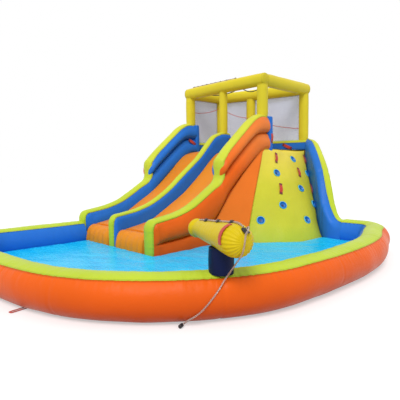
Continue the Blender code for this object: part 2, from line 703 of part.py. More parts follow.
def climb_face():
    wall = WALL_CENTRE + WALL_THICK / 2 + GAP
    behind = Vector((0, SIDE_PANEL_THICK + 2 * GAP, 0))
    levels, panels = [], []
    for index, up in enumerate(CLIMB_LEVEL_SHARES):
        height = Vector((0, 0, up * PLATFORM_HEIGHT))
        edge = panel_edge(index) + height
        face = [climb_point(i / CLIMB_FACE_STEPS, up) for i in range(CLIMB_FACE_STEPS + 1)]
        panels.append([edge, face[0], face[0] + Vector((0, SIDE_PANEL_THICK, 0)),
                       edge + Vector((0, SIDE_PANEL_THICK, 0))])
        end = CLIMB_EDGE_SHARE * (1 - up) + CLIMB_CREST_SHARE * up
        rest = [side_wall_point(end * share, CLIMB_SIDE_GAP) + height for share in CLIMB_REST_SHARES]
        corner = TOWER_CORNER_FRONT - GAP
        back = [flat(TOWER_CORNER_RIGHT, corner), flat(TOWER_RIGHT + GAP, corner),
                flat(TOWER_RIGHT + GAP, PLATFORM_DEPTH + GAP), flat(wall, PLATFORM_DEPTH + GAP)]
        levels.append([edge + behind, face[0] + behind] + face[1:] + rest + [p + height for p in back])
    bm = bmesh.new()
    add_loft(bm, levels, 1)
    bmesh.ops.triangulate(bm, faces=bm.faces)
    face = piece("climb_face", bm, "climb_yellow")
    bm = bmesh.new()
    add_loft(bm, panels, -1)
    piece("climb_side_panel", bm, "orange")
    return face


def surface_tree(made):
    bm = bmesh.new()
    bm.from_mesh(made.data)
    tree = BVHTree.FromBMesh(bm)
    bm.free()
    return tree


def seat(tree, point, normal):
    # The point moved along the normal onto the faceted surface.
    hit = tree.ray_cast(point + normal * HANDLE_LENGTH, -normal)[0]
    return hit if hit is not None else point


def resting_point(tree, point, normal, side, step):
    # The lowest point over this one that clears the faceted surface across a strap's width.
    lifts = [(seat(tree, point + side * a + step * b, normal) - point).dot(normal)
             for a in (-1, -0.5, 0, 0.5, 1) for b in (-1, -0.5, 0, 0.5, 1)]
    return point + normal * max(lifts)


def climb_holds(face):
    # Round dished footholds in the face.
    tree = surface_tree(face)
    for index, (across, up) in enumerate(HOLD_SHARES):
        normal = climb_normal(across, up)
        centre = seat(tree, climb_point(across, up), normal)
        bm = bmesh.new()
        add_round(bm, centre - normal * HOLD_DEPTH, centre + normal * CUT_OVERRUN,
                  (HOLD_RADIUS * HOLD_FLOOR_SHARE, HOLD_RADIUS, HOLD_RADIUS), 12,
                  (0.0, HOLD_DEPTH / (HOLD_DEPTH + CUT_OVERRUN), 1.0))
        cutter = piece("hold_cutter_%d" % index, bm, "climb_yellow")
        cutter.hide_render = True
        cutter.display_type = "WIRE"
        cut = face.modifiers.new("hold_%d" % index, "BOOLEAN")
        cut.operation = "DIFFERENCE"
        cut.solver = "EXACT"
        cut.object = cutter


def climb_handles(face):
    tree = surface_tree(face)
    for number, (across, up) in enumerate(CLIMB_HANDLE_SHARES):
        reach = HANDLE_LENGTH / 2 / PLATFORM_HEIGHT
        normal = climb_normal(across, up)
        line = [climb_point(across, up + reach * (2 * share - 1)) for share in STRAP_PLACE_SHARES]
        way = (line[-1] - line[0]).normalized()
        side = way.cross(normal).normalized() * (HANDLE_WIDE / 2)
        step = way * (HANDLE_LENGTH / 10)
        feet = [resting_point(tree, point, normal, side, step) for point in line]
        strap("climb_handle_%d" % (number + 1), feet, normal)


def tower_handles():
    # Straps on the bumper, on the left wall's inner face, and on the walls' blue ends.
    up = Vector((0, 0, 1))
    slope = Vector((TOWER_CORNER_RIGHT - tower_left(), TOWER_BACK_RIGHT - TOWER_BACK_LEFT, 0)).normalized()
    out = Vector((slope.y, -slope.x, 0))
    middle = (PLATFORM_HEIGHT + BUMPER_TOP - TRIM_THICK) / 2
    x = TOWER_RIGHT - HANDLE_LENGTH
    centre = flat(x, back_line(x, BUMPER_THICK)) + up * middle
    straight_strap("bumper_handle", centre, slope * 2 - up, out)
    inside = -(WALL_CENTRE - WALL_THICK / 2)
    centre = Vector((inside, -HANDLE_LENGTH / 2, PLATFORM_HEIGHT + HANDLE_LENGTH))
    straight_strap("left_wall_handle", centre, Vector((0, 2, -1)), Vector((1, 0, 0)))
    outside = WALL_CENTRE + WALL_THICK / 2
    centre = Vector((outside, PLATFORM_DEPTH - END_BLOCK_DEPTH / 2, PLATFORM_HEIGHT + HANDLE_LENGTH))
    straight_strap("right_wall_handle", centre, up, Vector((1, 0, 0)))
    centre = Vector((MIDDLE_THICK / 2, PLATFORM_DEPTH - END_BLOCK_DEPTH / 2, MIDDLE_TOP - HANDLE_LENGTH))
    straight_strap("middle_wall_handle", centre, up, Vector((1, 0, 0)))


# Canopy

def back_post(x):
    return flat(x, back_line(x, POST_BACK_INSET))


def post(name, centre, width, bottom):
    section = rounded(width, width)
    bm = bmesh.new()
    add_loft(bm, [[(centre.x + a, centre.y + b, z) for a, b in section]
                  for z in (bottom + GAP, CANOPY_TOP - BEAM_HEIGHT - GAP)])
    piece(name, bm, "yellow", True)


def beam(name, start, end, along_x):
    # A level beam between two middles, its ends square to X or to Y.
    section = rounded(BEAM_WIDTH, BEAM_HEIGHT)
    middle = CANOPY_TOP - BEAM_HEIGHT / 2
    bm = bmesh.new()
    if along_x:
        rows = [[(p.x, p.y + a, middle + b) for a, b in section] for p in (start, end)]
    else:
        rows = [[(p.x + a, p.y, middle + b) for a, b in section] for p in (start, end)]
    add_loft(bm, rows)
    piece(name, bm, "yellow", True)


def canopy():
    post("post_left", flat(-WALL_CENTRE, 0), POST_LEFT_WIDTH, GUARD_TOP)
    post("post_middle", flat(0, 0), POST_MIDDLE_WIDTH, MIDDLE_TOP)
    post("post_right", flat(WALL_CENTRE, 0), POST_RIGHT_WIDTH, GUARD_TOP)
    post("post_back_left", back_post(-WALL_CENTRE), POST_BACK_WIDTH, BUMPER_TOP)
    post("post_back_middle", back_post(MIDDLE_BACK_X), POST_BACK_WIDTH, BUMPER_TOP)
    post("post_back_right", back_post(WALL_CENTRE), POST_BACK_WIDTH, BUMPER_TOP)
    half = BEAM_WIDTH / 2
    end = WALL_CENTRE + half
    beam("beam_front", flat(-end, 0), flat(end, 0), True)
    behind = half + GAP
    for name, x in (("beam_left", -WALL_CENTRE), ("beam_right", WALL_CENTRE)):
        beam(name, flat(x, behind), back_post(x) + flat(0, half), False)
    left = -WALL_CENTRE + half + GAP
    right = WALL_CENTRE - half - GAP
    beam("beam_back", back_post(left), back_post(right), True)


def window(name, start, end, start_half, end_half, bottom):
    # A net between two posts, from the wall below it up to the beam.
    way = (end - start).normalized()
    out = Vector((-way.y, way.x, 0))
    clear = GAP / max(abs(way.x), abs(way.y))
    first = start + way * (start_half / max(abs(way.x), abs(way.y)) + clear) + out * NET_SETBACK
    last = end - way * (end_half / max(abs(way.x), abs(way.y)) + clear) + out * NET_SETBACK
    low = Vector((0, 0, bottom + GAP))
    height = Vector((0, 0, CANOPY_TOP - BEAM_HEIGHT - 2 * GAP - bottom))
    bm = bmesh.new()
    add_lattice(bm, first + low, last - first, height, out, NET_COLUMNS, NET_ROWS, NET_STRAND, NET_THICK)
    piece(name, bm, "net_grey")


def windows():
    half = POST_BACK_WIDTH / 2
    left_back, middle_back = back_post(-WALL_CENTRE), back_post(MIDDLE_BACK_X)
    right_back = back_post(WALL_CENTRE)
    guard_back = flat(-WALL_CENTRE, PLATFORM_DEPTH)
    window("net_left", guard_back, left_back, GAP, half, BUMPER_TOP)
    window("net_back_left", left_back, middle_back, half, half, BUMPER_TOP)
    window("net_back_right", middle_back, right_back, half, half, BUMPER_TOP)

    # A thin red cord runs past the nets inside the posts, from the left post to the right back one.
    clear = half + WINDOW_CORD_RADIUS + GAP
    slope = (right_back.y - left_back.y) / (right_back.x - left_back.x)
    end_gap = GAP + WINDOW_CORD_RADIUS * WINDOW_CORD_TILT_SHARE
    stops = [flat(-WALL_CENTRE, POST_LEFT_WIDTH / 2 + end_gap),
             left_back + flat(clear, -clear), middle_back - flat(0, clear + half * slope),
             right_back - flat(half + end_gap, half / 4)]
    points = []
    for index in range(3):
        for step in range(6):
            share = step / 6
            height = WINDOW_CORD_HEIGHTS[index] * (1 - share) + WINDOW_CORD_HEIGHTS[index + 1] * share
            sag = WINDOW_CORD_SAG * 4 * share * (1 - share)
            points.append(stops[index].lerp(stops[index + 1], share) + Vector((0, 0, height - sag)))
    points.append(stops[-1] + Vector((0, 0, WINDOW_CORD_HEIGHTS[-1])))
    tube_curve("window_cord", points, WINDOW_CORD_RADIUS, "webbing_red")


# Pool

def pool_path():
    points = [flat(a * POOL_WIDE, b * POOL_REACH) for a, b in POOL_PATH_SHARES]
    start = flat(SIDE_WALL_END_X + 2 * GAP, SIDE_WALL_END_Y)
    end = flat(-WALL_CENTRE, -SLIDE_RUN - GAP)
    return smooth([start] + points + [end], POOL_STATIONS)


def pool_normals(path):
    return right_normals(path, Vector((0, -1, 0)), Vector((1, 0, 0)))


def pool_wall():
    # Each length of tube is an outer half, an inner half and a lime strip on top.
    radius = POOL_TUBE_RADIUS
    seam = math.acos(POOL_TRIM_HALF / radius)
    seam_height = radius * (1 + math.sin(seam))
    foot = math.radians(-70)
    arc = [(radius * math.cos(seam + (foot - seam) * i / 5), radius * (1 + math.sin(seam + (foot - seam) * i / 5)))
           for i in range(6)]
    half = [(GAP, seam_height - GAP), (arc[0][0], seam_height - GAP)] + arc[1:] + [(POOL_FOOT_HALF, 0), (GAP, 0)]
    crown = [(radius * math.cos(angle), radius * (1 + math.sin(angle)))
             for angle in (seam + (math.pi - 2 * seam) * i / 4 for i in range(5))]
    path = pool_path()
    normals = pool_normals(path)
    up = Vector((0, 0, 1))
    for name, outline, sign, finish in (("pool_wall_outer", half, -1, "orange"), ("pool_wall_inner", half, 1, "blue"),
                                        ("pool_wall_trim", crown, 1, "lime")):
        bm = bmesh.new()
        add_loft(bm, [[point + normal * (sign * a) + up * b for a, b in outline]
                      for point, normal in zip(path, normals)])
        piece(name, bm, finish, True)


def pool_floor():
    radius = POOL_TUBE_RADIUS
    inset = math.sqrt(radius ** 2 - (radius - POOL_FLOOR_THICK) ** 2) + 4 * GAP
    path = pool_path()
    outline = [point + normal * inset for point, normal in zip(path, pool_normals(path))]
    wall = WALL_CENTRE + WALL_THICK / 2 + GAP
    outline.append(flat(wall, -SLIDE_RUN - GAP))
    outline.append(panel_edge(0) - Vector((0, 2 * GAP, 0)))
    foot = [climb_point(i / CLIMB_FACE_STEPS, 0) for i in range(CLIMB_FACE_STEPS + 1)]
    out = flat(*CLIMB_OUT_SHARES) * (4 * GAP)
    outline += [point + out for point in foot]
    outline += [side_wall_point(share, CLIMB_SIDE_GAP) for share in POOL_CORNER_SHARES]
    bm = bmesh.new()
    add_prism_z(bm, [(p.x, p.y) for p in outline], 0.0, POOL_FLOOR_THICK)
    piece("pool_floor", bm, "floor_blue")


# Spray line

def spray_line():
    height = CANOPY_TOP + SPRAY_HOSE_RADIUS + GAP
    bm = bmesh.new()
    add_round(bm, Vector((SPRAY_START_X, 0, height)), Vector((SPRAY_END_X, 0, height)),
              (SPRAY_HOSE_RADIUS, SPRAY_HOSE_RADIUS), 8)
    piece("spray_hose", bm, "clear_hose", True)

    # The feed leaves a nozzle on the beam, sags to the next one and on to the right beam.
    face = BEAM_WIDTH / 2 + GAP
    drop = CANOPY_TOP - BEAM_HEIGHT / 2 - NOZZLE_DROP / 2
    first, second = (Vector((x, face + NOZZLE_RADIUS, drop)) for x in NOZZLE_PLACES_X)
    last = Vector((WALL_CENTRE - BEAM_WIDTH / 2 - GAP, face + NOZZLE_LENGTH, drop))
    wide, thin = NOZZLE_RADIUS, FEED_RADIUS
    points, radii = [first - flat(NOZZLE_LENGTH, 0)], [thin]
    for start, end, sag in ((first, second, FEED_SAGS[0]), (second, last, FEED_SAGS[1])):
        points.append(start)
        radii.append(wide)
        for i in range(1, 7):
            share = i / 7
            hang = sag * 4 * share * (1 - share)
            points.append(start.lerp(end, share) + Vector((0, thin, -hang)))
            radii.append(thin)
    bm = bmesh.new()
    add_sweep(bm, points + [last - flat(NOZZLE_RADIUS, 0), last], radii + [thin, thin], 8)
    piece("spray_feed", bm, "black", True)


# Water cannon

def cannon_foot():
    across, along_pool = CANNON_PIVOT_SHARES
    return flat(across * POOL_WIDE, along_pool * POOL_REACH)


def cannon_axis(place, height=0.0, side=0.0):
    # A point along the cannon, measured from its pivot towards the muzzle.
    way = flat(math.cos(CANNON_HEADING), math.sin(CANNON_HEADING))
    across = Vector((-way.y, way.x, 0))
    return cannon_foot() + way * place + across * side + Vector((0, 0, CANNON_HEIGHT + height))


def cannon_radius(place):
    # Straight taper from the rear cap to the neck.
    start = -CANNON_REAR + CANNON_CAP_DEPTH
    share = (place - start) / (CANNON_FRONT - start)
    taper = min(max(share / CANNON_TAPER_SHARE, 0), 1)
    return CANNON_REAR_RADIUS + (CANNON_NECK_RADIUS - CANNON_REAR_RADIUS) * taper


def valve_seat(cap):
    # A point on the rounded cap and the way out of it.
    hit = surface_tree(cap).ray_cast(cannon_axis(-2 * CANNON_REAR, VALVE_HEIGHT, -VALVE_ASIDE),
                                     cannon_axis(1) - cannon_axis(0))
    return hit[0], hit[1]


def cannon(pivot):
    rear = -CANNON_REAR + CANNON_CAP_DEPTH
    made = []
    rim, lip = CANNON_MOUTH_SHARES
    bm = bmesh.new()
    add_round(bm, cannon_axis(rear + GAP), cannon_axis(CANNON_FRONT),
              (CANNON_REAR_RADIUS, CANNON_NECK_RADIUS, CANNON_MOUTH_RADIUS, CANNON_MOUTH_RADIUS * lip),
              CANNON_SIDES, (0.0, CANNON_TAPER_SHARE, rim, 1.0))
    made.append(piece("cannon_barrel", bm, "yellow", True))
    bm = bmesh.new()
    steps = 5
    radii = [CANNON_REAR_RADIUS * math.sqrt(1 - (CANNON_CAP_SHARE * i / steps) ** 2) for i in range(steps + 1)]
    add_round(bm, cannon_axis(rear), cannon_axis(-CANNON_REAR), radii, CANNON_SIDES)
    made.append(piece("cannon_cap", bm, "yellow", True))
    bm = bmesh.new()
    low, tip = CANNON_STUB_SHARES
    drop = -CANNON_MOUTH_RADIUS * low
    add_round(bm, cannon_axis(CANNON_FRONT + GAP, drop), cannon_axis(CANNON_FRONT + NOZZLE_STUB_LENGTH, drop),
              (NOZZLE_STUB_RADIUS, NOZZLE_STUB_RADIUS * tip), 10)
    made.append(piece("cannon_nozzle", bm, "black", True))

    # A clear hose runs along the top.
    seat_gap = 2 * GAP
    first, last = rear + CANNON_HOSE_RADIUS, CANNON_FRONT * CANNON_HOSE_SHARE
    lift = CANNON_HOSE_RADIUS + seat_gap
    bm = bmesh.new()
    add_round(bm, cannon_axis(first, cannon_radius(first) + lift), cannon_axis(last, cannon_radius(last) + lift),
              (CANNON_HOSE_RADIUS, CANNON_HOSE_RADIUS), 8)
    made.append(piece("cannon_hose", bm, "clear_hose", True))
    # A red strap is sewn round the side as a grip.
    bm = bmesh.new()
    sections = []
    place = rear + GRIP_WIDE
    for i in range(9):
        angle = GRIP_TOP - GRIP_SWEEP * i / 8
        ends = []
        for end in (-GRIP_WIDE / 2, GRIP_WIDE / 2):
            radius = cannon_radius(place - GRIP_WIDE / 2) + HANDLE_SEAT
            arch = HANDLE_ARCH * math.sin(math.pi * i / 8)
            for out in (radius + arch, radius + arch + HANDLE_THICK):
                ends.append(cannon_axis(place + end, out * math.sin(angle), out * math.cos(angle)))
        sections.append([ends[0], ends[1], ends[3], ends[2]])
    add_loft(bm, sections)
    made.append(piece("cannon_handle", bm, "webbing_red"))

    bm = bmesh.new()
    back, out = valve_seat(made[1])
    wide = VALVE_SIZE / 2
    add_round(bm, back + out * GAP, back + out * VALVE_THICK, (wide, wide, wide * VALVE_TIP_SHARE), 8)
    made.append(piece("cannon_valve", bm, "black"))
    for part in made:
        keep = part.matrix_world.copy()
        part.parent = pivot
        part.matrix_parent_inverse = pivot.matrix_world.inverted() @ keep

    bm = bmesh.new()
    section = rounded(CANNON_POST_WIDE, CANNON_POST_WIDE, 0.2)
    bottom = 2 * POOL_TUBE_RADIUS + GAP
    top = CANNON_HEIGHT - cannon_radius(-CANNON_POST_WIDE / math.sqrt(2)) - GAP
    turn = CANNON_HEADING
    foot = cannon_foot()
    add_loft(bm, [[(foot.x + a * math.cos(turn) - b * math.sin(turn),
                    foot.y + a * math.sin(turn) + b * math.cos(turn), z) for a, b in section]
                  for z in (bottom, top)])
    piece("cannon_post", bm, "navy", True)
    return back, out


def supply_hose(valve, out):
    points = [valve + out * (VALVE_THICK + 2 * GAP), valve + out * (2 * VALVE_THICK)]
    points += [Vector(point) for point in HOSE_POINTS]
    tube_curve("supply_hose", points, HOSE_RADIUS, "clear_hose")
    end = points[-1]
    way = (points[-1] - points[-2]).normalized()
    bm = bmesh.new()
    add_round(bm, end + way * GAP, end + way * CONNECTOR_LENGTH, (CONNECTOR_RADIUS, CONNECTOR_RADIUS), 8)
    piece("supply_connector", bm, "black", True)


# Ground loop and inflation sleeve

def anchor_loop():
    # A webbing loop sewn under the pool wall's outer edge, for a stake.
    path = pool_path()
    station = int(POOL_STATIONS * ANCHOR_SHARE)
    out = -pool_normals(path)[station]
    side = Vector((-out.y, out.x, 0))
    root = path[station] + out * (POOL_FOOT_HALF + LOOP_THICK * LOOP_ROOT_SHARE)
    bm = bmesh.new()
    add_lattice(bm, root - side * (LOOP_WIDE / 2), side * LOOP_WIDE, out * LOOP_LENGTH, Vector((0, 0, 1)),
                1, 1, LOOP_STRAND, LOOP_THICK)
    piece("anchor_loop", bm, "webbing_red")


def inflation_sleeve():
    # Short fabric tube at the back, which the blower's outlet is strapped into.
    bm = bmesh.new()
    start = back_line(SLEEVE_X + SLEEVE_RADIUS) + GAP
    sections = []
    for along_share, size in SLEEVE_SHARES:
        section = rounded(2 * SLEEVE_RADIUS * size, 2 * SLEEVE_RADIUS * size, SLEEVE_CORNER_SHARE)
        y = start + SLEEVE_LENGTH * along_share
        sections.append([(SLEEVE_X + a, y, b + SLEEVE_RADIUS * size) for a, b in section])
    add_loft(bm, sections)
    piece("inflation_sleeve", bm, "orange", True)


def build():
    for old in list(bpy.data.objects):
        bpy.data.objects.remove(old, do_unlink=True)
    pivot = bpy.data.objects.new("cannon_pivot", None)
    bpy.context.collection.objects.link(pivot)
    pivot.location = cannon_axis(0)
    bpy.context.view_layer.update()

    for side, sign in (("left", -1), ("right", 1)):
        outer_wall(side, sign)
        lane(side, sign)
    middle_wall()
    tower()
    climb_side_wall()
    face = climb_face()
    climb_handles(face)
    climb_holds(face)
    tower_handles()
    canopy()
    windows()
    pool_wall()
    pool_floor()
    spray_line()
    supply_hose(*cannon(pivot))
    anchor_loop()
    inflation_sleeve()

    # The origin is the middle of the tower's footprint.
    frame = bpy.data.objects.new("slide_frame", None)
    bpy.context.collection.objects.link(frame)
    for made in list(bpy.data.objects):
        if made is not frame and made.parent is None:
            made.parent = frame
    frame.location = (0.0, -ORIGIN_SETBACK, 0.0)
    bpy.context.view_layer.update()


build()
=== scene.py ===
import math

import bpy
from mathutils import Matrix, Vector, noise


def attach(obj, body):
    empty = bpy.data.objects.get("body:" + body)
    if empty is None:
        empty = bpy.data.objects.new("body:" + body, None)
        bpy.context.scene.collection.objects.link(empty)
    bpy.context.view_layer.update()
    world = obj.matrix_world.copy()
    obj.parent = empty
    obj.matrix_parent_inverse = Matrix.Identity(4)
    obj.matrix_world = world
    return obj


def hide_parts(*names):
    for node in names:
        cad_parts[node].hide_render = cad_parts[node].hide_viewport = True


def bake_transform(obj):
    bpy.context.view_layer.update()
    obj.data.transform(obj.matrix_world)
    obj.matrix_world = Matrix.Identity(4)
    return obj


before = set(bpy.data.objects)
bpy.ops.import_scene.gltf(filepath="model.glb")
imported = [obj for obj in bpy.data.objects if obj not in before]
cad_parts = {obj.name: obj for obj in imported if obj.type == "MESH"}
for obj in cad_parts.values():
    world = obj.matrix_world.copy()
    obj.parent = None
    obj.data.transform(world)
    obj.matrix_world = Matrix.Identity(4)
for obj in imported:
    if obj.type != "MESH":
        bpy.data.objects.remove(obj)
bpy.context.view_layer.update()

# Points are written from the middle of the tower's front, as in the part's source, and
# every mesh is moved back by this much when it is made.
towerSetback = 0.45
upward = Vector((0.0, 0.0, 1.0))

cameraSetup = {"place": (4.549, -5.415, 1.127), "yaw": -45.98, "pitch": -4.78, "roll": -0.65,
               "lens": 35.55, "sensor": 36.0}


def placeCamera():
    yaw, pitch, roll = (math.radians(cameraSetup[key]) for key in ("yaw", "pitch", "roll"))
    ahead = Vector((math.sin(yaw) * math.cos(pitch), math.cos(yaw) * math.cos(pitch), math.sin(pitch)))
    right = Vector((math.cos(yaw), -math.sin(yaw), 0.0))
    top = right.cross(ahead)
    across = right * math.cos(roll) + top * math.sin(roll)
    up = top * math.cos(roll) - right * math.sin(roll)
    bpy.ops.object.camera_add()
    view = bpy.context.object
    view.name = "gardenCamera"
    view.data.sensor_width = cameraSetup["sensor"]
    view.data.lens = cameraSetup["lens"]
    view.matrix_world = Matrix((
        (across.x, up.x, -ahead.x, cameraSetup["place"][0]),
        (across.y, up.y, -ahead.y, cameraSetup["place"][1]),
        (across.z, up.z, -ahead.z, cameraSetup["place"][2]),
        (0.0, 0.0, 0.0, 1.0)))
    bpy.context.scene.camera = view


placeCamera()
print("camera placed")


# Points and lines

def flat(x, y):
    return Vector((x, y, 0.0))


def curveAt(points, share):
    # a smooth curve through the points, at a share of its spans
    spans = len(points) - 1
    place = min(max(share, 0.0), 1.0) * spans
    index = min(int(place), spans - 1)
    t = place - index
    here, after = points[index], points[index + 1]
    before = points[index - 1] if index else here * 2 - after
    beyond = points[index + 2] if index + 2 <= spans else after * 2 - here
    return (here * 2 + (after - before) * t + (before * 2 - here * 5 + after * 4 - beyond) * t * t
            + (here * 3 - before - after * 3 + beyond) * t ** 3) * 0.5


def runsOf(points):
    # the length up to each point
    runs = [0.0]
    for a, b in zip(points, points[1:]):
        runs.append(runs[-1] + (b - a).length)
    return runs


def waysOf(points):
    # the way a line runs at each point
    last = len(points) - 1
    return [(points[min(i + 1, last)] - points[max(i - 1, 0)]).normalized() for i in range(last + 1)]


def evenly(points, count, fine=24):
    # the same curve as points at equal steps of its length
    steps = fine * (len(points) - 1)
    dense = [curveAt(points, i / steps) for i in range(steps + 1)]
    runs = runsOf(dense)
    even, k = [], 0
    for i in range(count):
        goal = runs[-1] * i / (count - 1)
        while k < len(runs) - 2 and runs[k + 1] < goal:
            k += 1
        span = runs[k + 1] - runs[k]
        even.append(dense[k].lerp(dense[k + 1], (goal - runs[k]) / span if span else 0.0))
    return even


def lengthOf(points):
    return sum((b - a).length for a, b in zip(points, points[1:]))


def lookUp(table, place):
    # straight interpolation in a table of rising places
    if place <= table[0][0]:
        return table[0][1]
    for (a, low), (b, high) in zip(table, table[1:]):
        if place <= b:
            return low + (high - low) * (place - a) / (b - a)
    return table[-1][1]


def smoothTable(pairs, count=90):
    return [tuple(point) for point in evenly([Vector(pair) for pair in pairs], count)]


def squareAt(angle, power, other=None):
    # a point of a unit square; its corners are rounder the nearer the powers are to one
    a, b = math.cos(angle), math.sin(angle)
    return math.copysign(abs(a) ** power, a), math.copysign(abs(b) ** (other or power), b)


def tubeEdge(depth, radius):
    # how far a rounded edge stands back from the full width, at a depth under its top
    share = 1.0 - min(max(depth, 0.0), radius) / radius
    return radius * (1.0 - math.sqrt(max(0.0, 1.0 - share * share)))


# Meshes

skinSettings = {"weld": 0.00005, "smoothAngle": 50.0}


def deselectAll():
    if bpy.context.object and bpy.context.object.mode != "OBJECT":
        bpy.ops.object.mode_set(mode="OBJECT")
    bpy.ops.object.select_all(action="DESELECT")


def selectOnly(thing):
    deselectAll()
    thing.select_set(True)
    bpy.context.view_layer.objects.active = thing


def addSkin(name, around, stations, shape, capRings=3, dome=0.0, shift=True, runs=None):
    # A grid rolled into a closed skin. shape(u, v) gives a point and its distance from the
    # nearest sewn seam. The ends are closed by shrinking rings, domed outwards where asked.
    # runs: the length along the piece at each station, where its neighbours share it.
    deselectAll()
    rows = stations + 2 * capRings
    bpy.ops.mesh.primitive_grid_add(x_subdivisions=around, y_subdivisions=rows, size=1.0)
    skin = bpy.context.object
    skin.name = name
    skin.data.name = name
    rings = [[shape(i / around, j / stations) for i in range(around + 1)] for j in range(stations + 1)]
    middles = [sum((point for point, _ in ring[:-1]), Vector()) / around for ring in rings]
    runs = runs or runsOf(middles)
    girth = runsOf([point for point, _ in rings[len(rings) // 2]])

    def ringAt(row):
        if row < capRings or row > rows - capRings:
            first = row < capRings
            step = row if first else rows - row
            ring, middle = (rings[0], middles[0]) if first else (rings[-1], middles[-1])
            inward = middles[1] if first else middles[-2]
            out = (middle - inward).normalized() if (middle - inward).length > 1e-6 else upward
            size = math.sin(math.pi / 2 * step / capRings)
            lift = out * (dome * math.cos(math.pi / 2 * step / capRings))
            reach = sum((point - middle).length for point, _ in ring) / len(ring) * (1 - size)
            run = -reach if first else runs[-1] + reach
            return [(middle + (point - middle) * size + lift, seam) for point, seam in ring], run
        return rings[row - capRings], runs[row - capRings]
    table = [ringAt(row) for row in range(rows + 1)]
    mesh = skin.data
    places, seams, lengths, spots = [], [], [], []
    back = flat(0.0, -towerSetback if shift else 0.0)
    for vertex in mesh.vertices:
        i = round((vertex.co.x + 0.5) * around)
        j = round((vertex.co.y + 0.5) * rows)
        ring, run = table[j]
        point, seam = ring[i]
        places.extend(point + back)
        seams.append(seam)
        lengths.append(run)
        spots.append((girth[i], run))
    mesh.vertices.foreach_set("co", places)
    mesh.attributes.new("seam", "FLOAT", "POINT").data.foreach_set("value", seams)
    mesh.attributes.new("run", "FLOAT", "POINT").data.foreach_set("value", lengths)
    uv = mesh.uv_layers.active or mesh.uv_layers.new(name="UVMap")
    for loop in mesh.loops:
        uv.data[loop.index].uv = spots[loop.vertex_index]
    bpy.ops.object.mode_set(mode="EDIT")
    bpy.ops.mesh.select_all(action="SELECT")
    bpy.ops.mesh.remove_doubles(threshold=skinSettings["weld"])
    bpy.ops.mesh.normals_make_consistent(inside=False)
    bpy.ops.object.mode_set(mode="OBJECT")
    bpy.ops.object.shade_smooth()
    bpy.ops.object.shade_smooth_by_angle(angle=math.radians(skinSettings["smoothAngle"]))
    return skin


creaseWidth = 0.012


def clothFolds(broad, broadSize, pucker=0.0, reach=0.05, pitch=0.04):
    # broad soft waves and their size; the short folds that a seam draws in, how far they
    # reach from it and how close they stand along it
    return {"broad": broad, "broadSize": broadSize, "pucker": pucker, "reach": reach, "pitch": pitch}


def ruffle(skin, folds, seed=0.0, creases=(), crease=0.004):
    # Folds and creases of air-filled cloth. Neighbours with one seed and one run move alike,
    # and nothing sinks into the ground.
    mesh = skin.data
    count = len(mesh.vertices)
    seams, lengths = [0.0] * count, [0.0] * count
    mesh.attributes["seam"].data.foreach_get("value", seams)
    mesh.attributes["run"].data.foreach_get("value", lengths)
    pitch = folds["pitch"]
    moved = []
    for vertex, seam, run in zip(mesh.vertices, seams, lengths):
        wave = noise.noise(vertex.co / folds["broadSize"] + Vector((seed, 0.0, 0.0))) * folds["broad"]
        fold = noise.noise(Vector((run / pitch, seam / (pitch * 5), seed)))
        fold *= folds["pucker"] * math.exp(-seam / folds["reach"])
        pull = sum(crease * math.exp(-((run - place) / creaseWidth) ** 2) for place in creases)
        place = vertex.co + vertex.normal * (wave + fold - pull)
        moved.extend((place.x, place.y, max(place.z, min(vertex.co.z, 0.0))))
    mesh.vertices.foreach_set("co", moved)
    mesh.update()


def join(name, parts):
    deselectAll()
    for part in parts:
        part.select_set(True)
    bpy.context.view_layer.objects.active = parts[0]
    bpy.ops.object.join()
    made = bpy.context.object
    made.name = name
    made.data.name = name
    return made


def dress(skin, finish, body="slide", nodes=()):
    skin.data.materials.clear()
    skin.data.materials.append(finish)
    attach(skin, body)
    if nodes:
        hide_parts(*nodes)


def addTube(name, points, radius, sides, stations, shift=True):
    # A round tube along a free curve, with a frame that turns as little as it can.
    # radius: one value, or a table of (share of the length, radius)
    path = evenly(points, stations + 1)
    ways = waysOf(path)
    side = ways[0].orthogonal().normalized()
    firsts, seconds = [], []
    for way in ways:
        side = (side - way * side.dot(way)).normalized()
        firsts.append(side)
        seconds.append(way.cross(side))

    def shape(u, v):
        i = round(v * stations)
        angle = 2 * math.pi * u
        size = lookUp(radius, v) if isinstance(radius, tuple) else radius
        return path[i] + firsts[i] * (size * math.cos(angle)) + seconds[i] * (size * math.sin(angle)), 1.0
    return addSkin(name, sides, stations, shape, capRings=2, shift=shift), path


# Finishes. The colours are linear.

def mathNode(tree, operation, a, b=0.5):
    node = tree.nodes.new("ShaderNodeMath")
    node.operation = operation
    for index, value in enumerate((a, b)):
        if isinstance(value, (int, float)):
            node.inputs[index].default_value = value
        else:
            tree.links.new(value, node.inputs[index])
    return node.outputs[0]


def times(tree, a, b):
    return mathNode(tree, "MULTIPLY", a, b)


def plus(tree, a, b):
    return mathNode(tree, "ADD", a, b)


def noiseNode(tree, vector, scale, detail=2.0, rough=0.5, distortion=0.0):
    node = tree.nodes.new("ShaderNodeTexNoise")
    node.inputs["Scale"].default_value = scale
    node.inputs["Detail"].default_value = detail
    node.inputs["Roughness"].default_value = rough
    node.inputs["Distortion"].default_value = distortion
    tree.links.new(vector, node.inputs["Vector"])
    return node.outputs["Fac"]


def mapNode(tree, value, fromLow, fromHigh, low, high):
    node = tree.nodes.new("ShaderNodeMapRange")
    node.inputs["From Min"].default_value = fromLow
    node.inputs["From Max"].default_value = fromHigh
    node.inputs["To Min"].default_value = low
    node.inputs["To Max"].default_value = high
    tree.links.new(value, node.inputs["Value"])
    return node.outputs["Result"]


def spread(tree, pattern, low, high):
    # a noise pattern's usual range, spread from low to high
    return mapNode(tree, pattern, 0.3, 0.7, low, high)


def coordsOf(tree):
    coords = tree.nodes.new("ShaderNodeTexCoord")
    return coords.outputs["Object"], coords.outputs["UV"]


